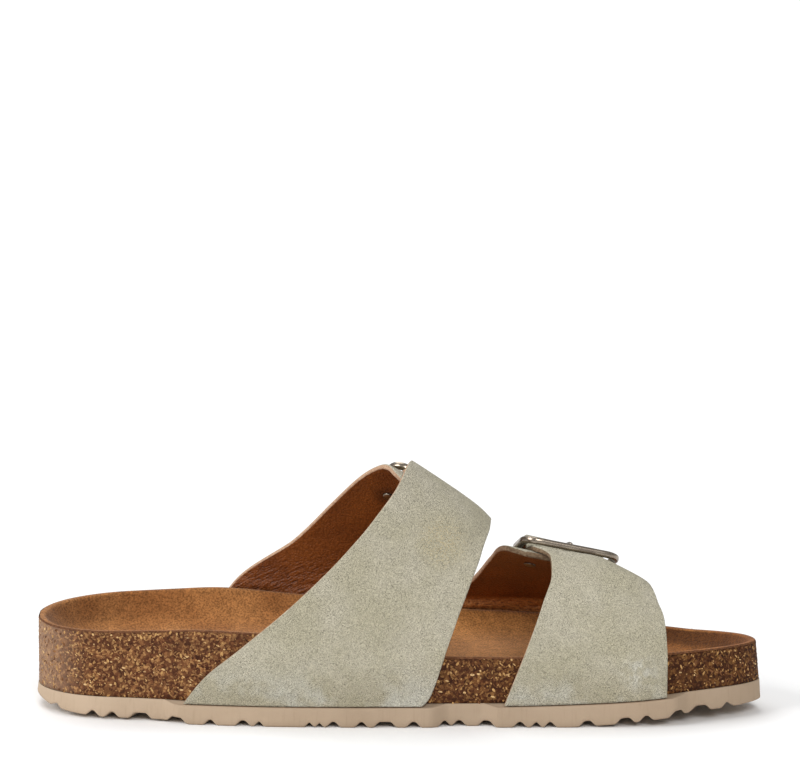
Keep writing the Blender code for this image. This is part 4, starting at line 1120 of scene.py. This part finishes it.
class Finish:
    """One material and the nodes that shade it, all on Object coordinates."""

    def __init__(self, name, **sockets):
        self.material = bpy.data.materials.new(name)
        self.material.use_nodes = True
        self.nodes = self.material.node_tree.nodes
        self.shader = self.nodes["Principled BSDF"]
        for label, value in sockets.items():
            self.shader.inputs[label.replace("_", " ")].default_value = value
        self.place = self.nodes.new("ShaderNodeTexCoord").outputs["Object"]

    def link(self, out, into):
        self.material.node_tree.links.new(out, into)

    def feed(self, socket, value):
        if isinstance(value, bpy.types.NodeSocket):
            self.link(value, socket)
        else:
            socket.default_value = value

    def stretched(self, scale, turn=0.0):
        """Object coordinates, turned about the breadth of the shoe and then stretched."""
        node = self.nodes.new("ShaderNodeMapping")
        node.vector_type = "TEXTURE"
        node.inputs["Rotation"].default_value = (0.0, math.radians(turn), 0.0)
        node.inputs["Scale"].default_value = [1 / size for size in scale]
        self.link(self.place, node.inputs["Vector"])
        return node.outputs["Vector"]

    def noise(self, scale, detail=2.0, at=None):
        node = self.nodes.new("ShaderNodeTexNoise")
        node.inputs["Scale"].default_value = scale
        node.inputs["Detail"].default_value = detail
        self.link(at or self.place, node.inputs["Vector"])
        return node.outputs["Fac"]

    def cells(self, scale, at):
        node = self.nodes.new("ShaderNodeTexVoronoi")
        node.inputs["Scale"].default_value = scale
        self.link(at, node.inputs["Vector"])
        return node.outputs

    def warped(self, scale, amount):
        """Object coordinates, pushed about by noise."""
        node = self.nodes.new("ShaderNodeTexNoise")
        node.inputs["Scale"].default_value = scale
        self.link(self.place, node.inputs["Vector"])
        move = self.nodes.new("ShaderNodeVectorMath")
        move.operation = "MULTIPLY_ADD"
        move.inputs[1].default_value = (amount,) * 3
        self.link(node.outputs["Color"], move.inputs[0])
        self.link(self.place, move.inputs[2])
        return move.outputs["Vector"]

    def level(self, value, low, high):
        """Nought to one between two values."""
        node = self.nodes.new("ShaderNodeMapRange")
        node.interpolation_type = "SMOOTHSTEP"
        self.feed(node.inputs["Value"], value)
        node.inputs["From Min"].default_value = low
        node.inputs["From Max"].default_value = high
        return node.outputs["Result"]

    def math(self, operation, first, second):
        node = self.nodes.new("ShaderNodeMath")
        node.operation = operation
        self.feed(node.inputs[0], first)
        self.feed(node.inputs[1], second)
        return node.outputs[0]

    def axis(self, name):
        node = self.nodes.new("ShaderNodeSeparateXYZ")
        self.link(self.place, node.inputs[0])
        return node.outputs[name]

    def attribute(self, name):
        node = self.nodes.new("ShaderNodeAttribute")
        node.attribute_name = name
        return node.outputs["Fac"]

    def near(self, spot):
        """One at a marked spot, nought beyond it."""
        node = self.nodes.new("ShaderNodeVectorMath")
        node.operation = "DISTANCE"
        self.link(self.place, node.inputs[0])
        node.inputs[1].default_value = placed(spot.place)[0]
        return self.level(node.outputs["Value"], spot.outer * MM, spot.inner * MM)

    def along(self, stretch):
        """Nought to one over a stretch along the shoe."""
        return self.level(self.axis("X"), *stretch)

    def up(self, stretch):
        """Nought to one over a stretch up or down."""
        return self.level(self.axis("Z"), *stretch)

    def times(self, first, second):
        return self.math("MULTIPLY", first, second)

    def shade(self, base, colour):
        """Base colour, multiplied by another."""
        return self.mix(1.0, base, colour, "MULTIPLY")

    def mix(self, factor, first, second, way="MIX"):
        node = self.nodes.new("ShaderNodeMix")
        node.data_type = "RGBA"
        node.blend_type = way
        self.feed(node.inputs[0], factor)
        self.feed(node.inputs[MIX_FIRST], first)
        self.feed(node.inputs[MIX_SECOND], second)
        return node.outputs[MIX_RESULT]

    def ramp(self, value, *stops):
        node = self.nodes.new("ShaderNodeValToRGB")
        marks = node.color_ramp.elements
        while len(marks) < len(stops):
            marks.new(1.0)
        for mark, (at, colour) in zip(marks, stops):
            mark.position = at
            mark.color = colour
        self.link(value, node.inputs[0])
        return node.outputs["Color"]

    def colour(self, value):
        self.feed(self.shader.inputs["Base Color"], value)

    def rough(self, value):
        self.link(value, self.shader.inputs["Roughness"])

    def bump(self, *heights):
        """Relief of several heights, each a socket and its depth in millimetres."""
        normal = None
        for height, depth in heights:
            node = self.nodes.new("ShaderNodeBump")
            node.inputs["Distance"].default_value = depth * MM
            self.link(height, node.inputs["Height"])
            if normal:
                self.link(normal, node.inputs["Normal"])
            normal = node.outputs["Normal"]
        self.link(normal, self.shader.inputs["Normal"])


def suede_finish():
    """Sage suede with brushed nap, pale rubbed patches, one warm, speckled patch and painted shade low down
    by the sole.
    """
    suede = Finish("sage_suede", Roughness=0.95, Specular_IOR_Level=0.15, Sheen_Weight=0.12,
                   Sheen_Roughness=0.5)
    patches = suede.noise(55.0, 3.0)
    grain = suede.noise(2600.0)
    tufts = suede.noise(1750.0)
    nap = suede.noise(330.0, 3.0)
    base = suede.mix(suede.level(patches, 0.3, 0.7), tone("b9b29a"), tone("c3bca8"))
    low = suede.up(LOW_SUEDE)
    rubbed = suede.times(low, suede.level(suede.noise(75.0, 3.0), 0.42, 0.66))
    # Painted shade: the suede is darker low down, by the sole.
    base = suede.mix(suede.times(low, 0.45), base, tone("998f76"))
    base = suede.mix(suede.times(rubbed, 0.65), base, tone("cccabf"))
    smudge = suede.times(suede.near(PALE_SMUDGE), suede.level(nap, 0.4, 0.62))
    base = suede.mix(suede.times(smudge, 0.6), base, tone("cccabf"))
    warm = suede.times(suede.near(WARM_PATCH), suede.level(tufts, 0.45, 0.65))
    base = suede.mix(suede.times(warm, 0.8), base, tone("cbbb96"))
    base = suede.shade(base, suede.ramp(nap, (0.3, (0.95, 0.95, 0.945, 1)), (0.7, (1.04, 1.04, 1.04, 1))))
    suede.colour(suede.shade(base, suede.ramp(
        grain, (0.34, (0.75, 0.745, 0.725, 1)), (0.5, (0.98, 0.98, 0.98, 1)),
        (0.66, (1.17, 1.17, 1.165, 1)))))
    suede.bump((tufts, 0.8), (grain, 0.6))
    return suede.material


def lining_finish():
    """Red-brown calf lining with a fine pebble grain, wrinkled low at the rear and folded at the front, with
    painted light on the fold and painted shade in its creases, in the rear wrinkles and round the rear
    rivet.
    """
    lining = Finish("brown_lining", Roughness=0.45, Specular_IOR_Level=0.45)
    pebbles = lining.cells(1200.0, lining.warped(500.0, 0.0012))["Distance"]
    patches = lining.noise(60.0, 4.0)
    base = lining.mix(lining.level(patches, 0.3, 0.7), tone("784017"), tone("8d4f1e"))
    over = lining.times(lining.up(FOLD_UP), lining.along(FOLD_ALONG))
    folds = lining.noise(1.0, 3.0, lining.stretched((380.0, 380.0, 1500.0)))
    # Painted light on the fold of the lining over the front's far rim, with painted shade in the valleys of
    # its creases.
    base = lining.mix(lining.times(over, 0.85), base, tone("d89254"))
    crease_shade = lining.times(over, lining.level(folds, 0.5, 0.36))
    base = lining.mix(lining.times(crease_shade, 0.6), base, tone("7a3e18"))
    wrinkles = lining.noise(1.0, 2.0, lining.stretched((330.0, 500.0, 1250.0), -24.0))
    shrunk = lining.times(lining.along(WRINKLED_ALONG), lining.up(WRINKLED_UP))
    # Painted shade in the valleys of the rear wrinkles.
    valley_shade = lining.times(shrunk, lining.level(wrinkles, 0.52, 0.36))
    base = lining.mix(lining.times(valley_shade, 0.5), base, tone("4a210b"))
    # Painted shade round the rear rivet.
    base = lining.mix(lining.times(lining.near(RIVET_HOLLOW_SHADE), 0.55), base, tone("3a1706"))
    lining.colour(lining.shade(base, lining.ramp(
        pebbles, (0.15, (1.06, 1.06, 1.06, 1)), (0.8, (0.7, 0.67, 0.64, 1)))))
    lining.bump((patches, 0.3), (pebbles, -0.25), (lining.times(folds, over), 0.6),
                (lining.times(wrinkles, shrunk), 0.7))
    return lining.material


def cut_edge_finish():
    """Raw cut leather with warm fibres, with painted shade on the edges where the front strap is lapped."""
    edge = Finish("cut_edge", Roughness=0.9, Specular_IOR_Level=0.2)
    fibres = edge.noise(1300.0, 3.0)
    base = edge.mix(edge.level(fibres, 0.35, 0.7), tone("a5836a"), tone("c4a488"))
    # Painted shade on the cut edges of the front strap's lapped ends.
    lap_shade_tone = edge.mix(edge.level(fibres, 0.35, 0.7), tone("6f5a45"), tone("8c7861"))
    lapped = edge.times(edge.along(LAP_SHADE_ALONG), edge.up(LAP_SHADE_UP))
    edge.colour(edge.mix(lapped, base, lap_shade_tone))
    edge.bump((fibres, 0.15))
    return edge.material


def cork_finish():
    """Pressed cork: dark binder and brown grains of many sizes, under a thin sealer, with painted light on
    the heel end and painted shade toward the toe.
    """
    cork = Finish("pressed_cork", Roughness=0.7, Specular_IOR_Level=0.12)
    bent = cork.warped(800.0, 0.0014)
    grains = cork.cells(640.0, bent)
    fine = cork.cells(1400.0, bent)
    large = cork.ramp(grains["Color"], (0.2, tone("3f2012")), (0.48, tone("5c341f")),
                      (0.62, tone("6b4128")), (0.8, tone("98693f")))
    small = cork.ramp(fine["Color"], (0.25, tone("341a0e")), (0.52, tone("58321d")),
                      (0.66, tone("805434")), (0.8, tone("c2955f")))
    base = cork.mix(0.55, large, small)
    blotch = cork.level(cork.noise(160.0), 0.3, 0.7)
    base = cork.mix(blotch, base, cork.mix(0.35, base, tone("50321f")))
    # Painted shade toward the toe.
    base = cork.mix(cork.along(CORK_FORE_SHADE), base, cork.shade(base, CORK_TOE_SHADE))
    # Painted light on the rounded heel end.
    cork.colour(cork.mix(cork.along(CORK_HEEL_LIGHT), base, cork.mix(0.45, base, tone("b8977c"))))
    cork.bump((grains["Distance"], -0.15), (fine["Distance"], -0.12))
    return cork.material


def granule_finish():
    """Golden cork granules, each with its own tint."""
    gold = Finish("golden_cork", Roughness=0.65, Specular_IOR_Level=0.2)
    base = gold.ramp(gold.attribute("tint"), (0.0, tone("4a2a14")), (0.4, tone("7a4f2e")),
                     (0.6, tone("a77c49")), (0.85, tone("c29860")), (1.0, tone("d6b27e")))
    flecks = gold.noise(1800.0)
    gold.colour(gold.mix(gold.level(flecks, 0.45, 0.75), base, tone("6a4528")))
    gold.bump((flecks, 0.08))
    return gold.material


def insole_finish():
    """Tan suede of the footbed, mottled, with painted light on the bed between the straps and painted shade
    up its walls at the toe and the heel and over its fore part.
    """
    suede = Finish("tan_suede", Roughness=0.95, Specular_IOR_Level=0.15, Sheen_Weight=0.1,
                   Sheen_Roughness=0.5)
    patches = suede.noise(45.0, 4.0)
    grain = suede.noise(1500.0)
    mottle = suede.noise(300.0, 3.0)
    base = suede.mix(suede.level(patches, 0.35, 0.65), tone("925f34"), tone("a47041"))
    # Painted light on the bed between the straps.
    base = suede.mix(suede.times(suede.near(LIT_BED), 0.7), base, tone("c68a4c"))
    base = suede.shade(base, suede.ramp(mottle, (0.3, (0.84, 0.83, 0.8, 1)), (0.7, (1.12, 1.12, 1.12, 1))))
    rise = suede.attribute("rise")
    # Painted shade up the cup's walls: strong at the toe, faint at the heel, none on the rim lip.
    wall = suede.times(suede.level(rise, 0.1, 0.45), suede.level(rise, 0.99, 0.9))
    toe = suede.times(suede.along(BED_TOE_IN), suede.along(BED_TOE_OUT))
    heel = suede.times(suede.along(BED_HEEL), 0.3)
    dark = suede.times(wall, suede.math("ADD", suede.times(toe, 0.75), heel))
    base = suede.mix(dark, base, tone("4a2a12"))
    # Painted shade over the fore part.
    base = suede.mix(suede.along(BED_FORE_SHADE), base, suede.shade(base, INSOLE_TOE_SHADE))
    suede.colour(suede.shade(base, suede.ramp(
        grain, (0.36, (0.62, 0.6, 0.55, 1)), (0.5, (0.98, 0.98, 0.98, 1)), (0.64, (1.26, 1.24, 1.2, 1)))))
    suede.bump((patches, 0.2), (grain, 0.3))
    return suede.material


def seam_finish():
    """Dark edge of the insole, along the top of the cork."""
    seam = Finish("insole_edge", Roughness=0.9, Specular_IOR_Level=0.15)
    fibres = seam.noise(1300.0, 3.0)
    seam.colour(seam.mix(seam.level(fibres, 0.35, 0.7), tone("5a3a28"), tone("7a5238")))
    return seam.material


def foam_finish():
    """Beige moulded foam with faint upright brush lines, darker towards the bottom, and painted shade toward
    the toe.
    """
    foam = Finish("beige_foam", Roughness=0.8, Specular_IOR_Level=0.25)
    lines = foam.noise(1.0, 3.0, foam.stretched((1100.0, 1100.0, 70.0)))
    clouds = foam.noise(45.0, 3.0)
    pores = foam.noise(1600.0)
    base = foam.mix(foam.level(clouds, 0.3, 0.7), tone("b19b83"), tone("bba58d"))
    base = foam.mix(foam.times(foam.level(lines, 0.52, 0.8), 0.35), base, tone("9a846c"))
    # Darker towards the bottom.
    base = foam.mix(foam.times(foam.up(FOAM_LOW), 0.2), base, tone("85725f"))
    # Painted shade toward the toe.
    foam.colour(foam.mix(foam.times(foam.along(FOAM_FORE_SHADE), 0.3), base, tone("7d6a57")))
    foam.bump((lines, 0.06), (pores, 0.06))
    return foam.material


def metal_finish(name, bright, dark, rough):
    """Plated metal, darker where the plating has dulled."""
    metal = Finish(name, Metallic=1.0)
    wear = metal.noise(180.0, 3.0)
    scratches = metal.noise(1.0, 3.0, metal.stretched((900.0, 220.0, 900.0)))
    metal.colour(metal.mix(metal.level(wear, 0.3, 0.7), tone(dark), tone(bright)))
    spread = metal.times(metal.level(wear, 0.7, 0.3), 0.1)
    metal.rough(metal.math("ADD", spread, rough))
    metal.bump((scratches, 0.01))
    return metal.material


# Stage


def add_sun(name, toward, spread, strength):
    """Large soft light from a direction."""
    light = bpy.data.lights.new(name, "SUN")
    light.angle = math.radians(spread)
    light.energy = strength
    lamp = bpy.data.objects.new(name, light)
    bpy.context.scene.collection.objects.link(lamp)
    flat = math.hypot(toward[0], toward[1])
    lamp.rotation_euler = (math.atan2(flat, toward[2]), 0.0, math.atan2(toward[0], -toward[1]))


def set_stage():
    scene = bpy.context.scene
    scene.view_settings.view_transform = "Standard"
    world = bpy.data.worlds.new("studio")
    scene.world = world
    world.use_nodes = True
    sky = world.node_tree.nodes["Background"]
    sky.inputs["Color"].default_value = (1.0, 1.0, 1.0, 1.0)
    sky.inputs["Strength"].default_value = SKY_STRENGTH
    bpy.ops.mesh.primitive_plane_add(size=FLOOR_SIZE)
    floor = bpy.context.active_object
    floor.name = "studio_floor"
    paper = Finish("white_floor", Roughness=1.0, Specular_IOR_Level=0.0)
    paper.colour(FLOOR_WHITE)
    floor.data.materials.append(paper.material)
    for name, toward, spread, strength in SUNS:
        add_sun(name, toward, spread, strength)
    camera = bpy.data.cameras.new("photo_camera")
    camera.lens = CAMERA_LENS
    camera.sensor_fit = "HORIZONTAL"
    camera.sensor_width = SENSOR_WIDTH
    camera.clip_end = CAMERA_REACH
    eye = bpy.data.objects.new("photo_camera", camera)
    scene.collection.objects.link(eye)
    eye.location = CAMERA_PLACE
    eye.rotation_euler = (CAMERA_TILT, 0.0, 0.0)
    scene.camera = eye


def build():
    set_stage()
    suede, lining, edge = suede_finish(), lining_finish(), cut_edge_finish()
    leather = [suede, edge, lining]
    nickel = metal_finish("antique_nickel", "a89c8c", "82766a", 0.2)
    rivet_metal = metal_finish("rivet_nickel", "94897b", "5a4e41", 0.3)
    outline = Outline()
    dress(make_outsole(foam_finish()), "foam_sole", "outsole")
    dress(make_footbed(outline, cork_finish()), "cork", "footbed")
    dress(make_granules(outline, granule_tree(), granule_finish()), "cork")
    dress(make_insole(outline, [insole_finish(), seam_finish()]), "footbed_suede", "insole")
    punch = punch_tree()
    for band in BANDS:
        form = Form(band.arch)
        fitting = Fitting(band, form)
        halves = {"medial": medial_grid(band, form, fitting), "lateral": lateral_grid(band, form)}
        for half, grid in halves.items():
            sheet = creased(finer(grid), f"{band.name}_{half}", half == "medial")
            bulge = puckered(sheet, PUCKER_HEIGHT[band.name]) if half == "lateral" else None
            raw = RAW_SHARE[f"{band.name}_{half}"]
            strap = leather_piece(f"{band.name}_{half}_leather", sheet, STRAP_THICKNESS, leather, raw, bulge)
            if half == "medial":
                punch_tongue(strap, fitting, punch, edge)
            dress(strap, "strap_suede", f"{band.name}_strap")
        dress(make_keeper(band, fitting, leather), "strap_suede", f"{band.name}_buckle_keeper")
        dress(make_frame(band, fitting, nickel), "buckle_metal", f"{band.name}_buckle_frame")
        dress(make_prong(band, fitting, nickel), "buckle_metal", f"{band.name}_buckle_prong")
        for end, across in (("back", -band.rivet_across), ("fore", band.rivet_across)):
            head = make_rivet(band, fitting, end, across, rivet_metal)
            dress(head, "rivet_metal", f"{band.name}_rivet_{end}")


build()
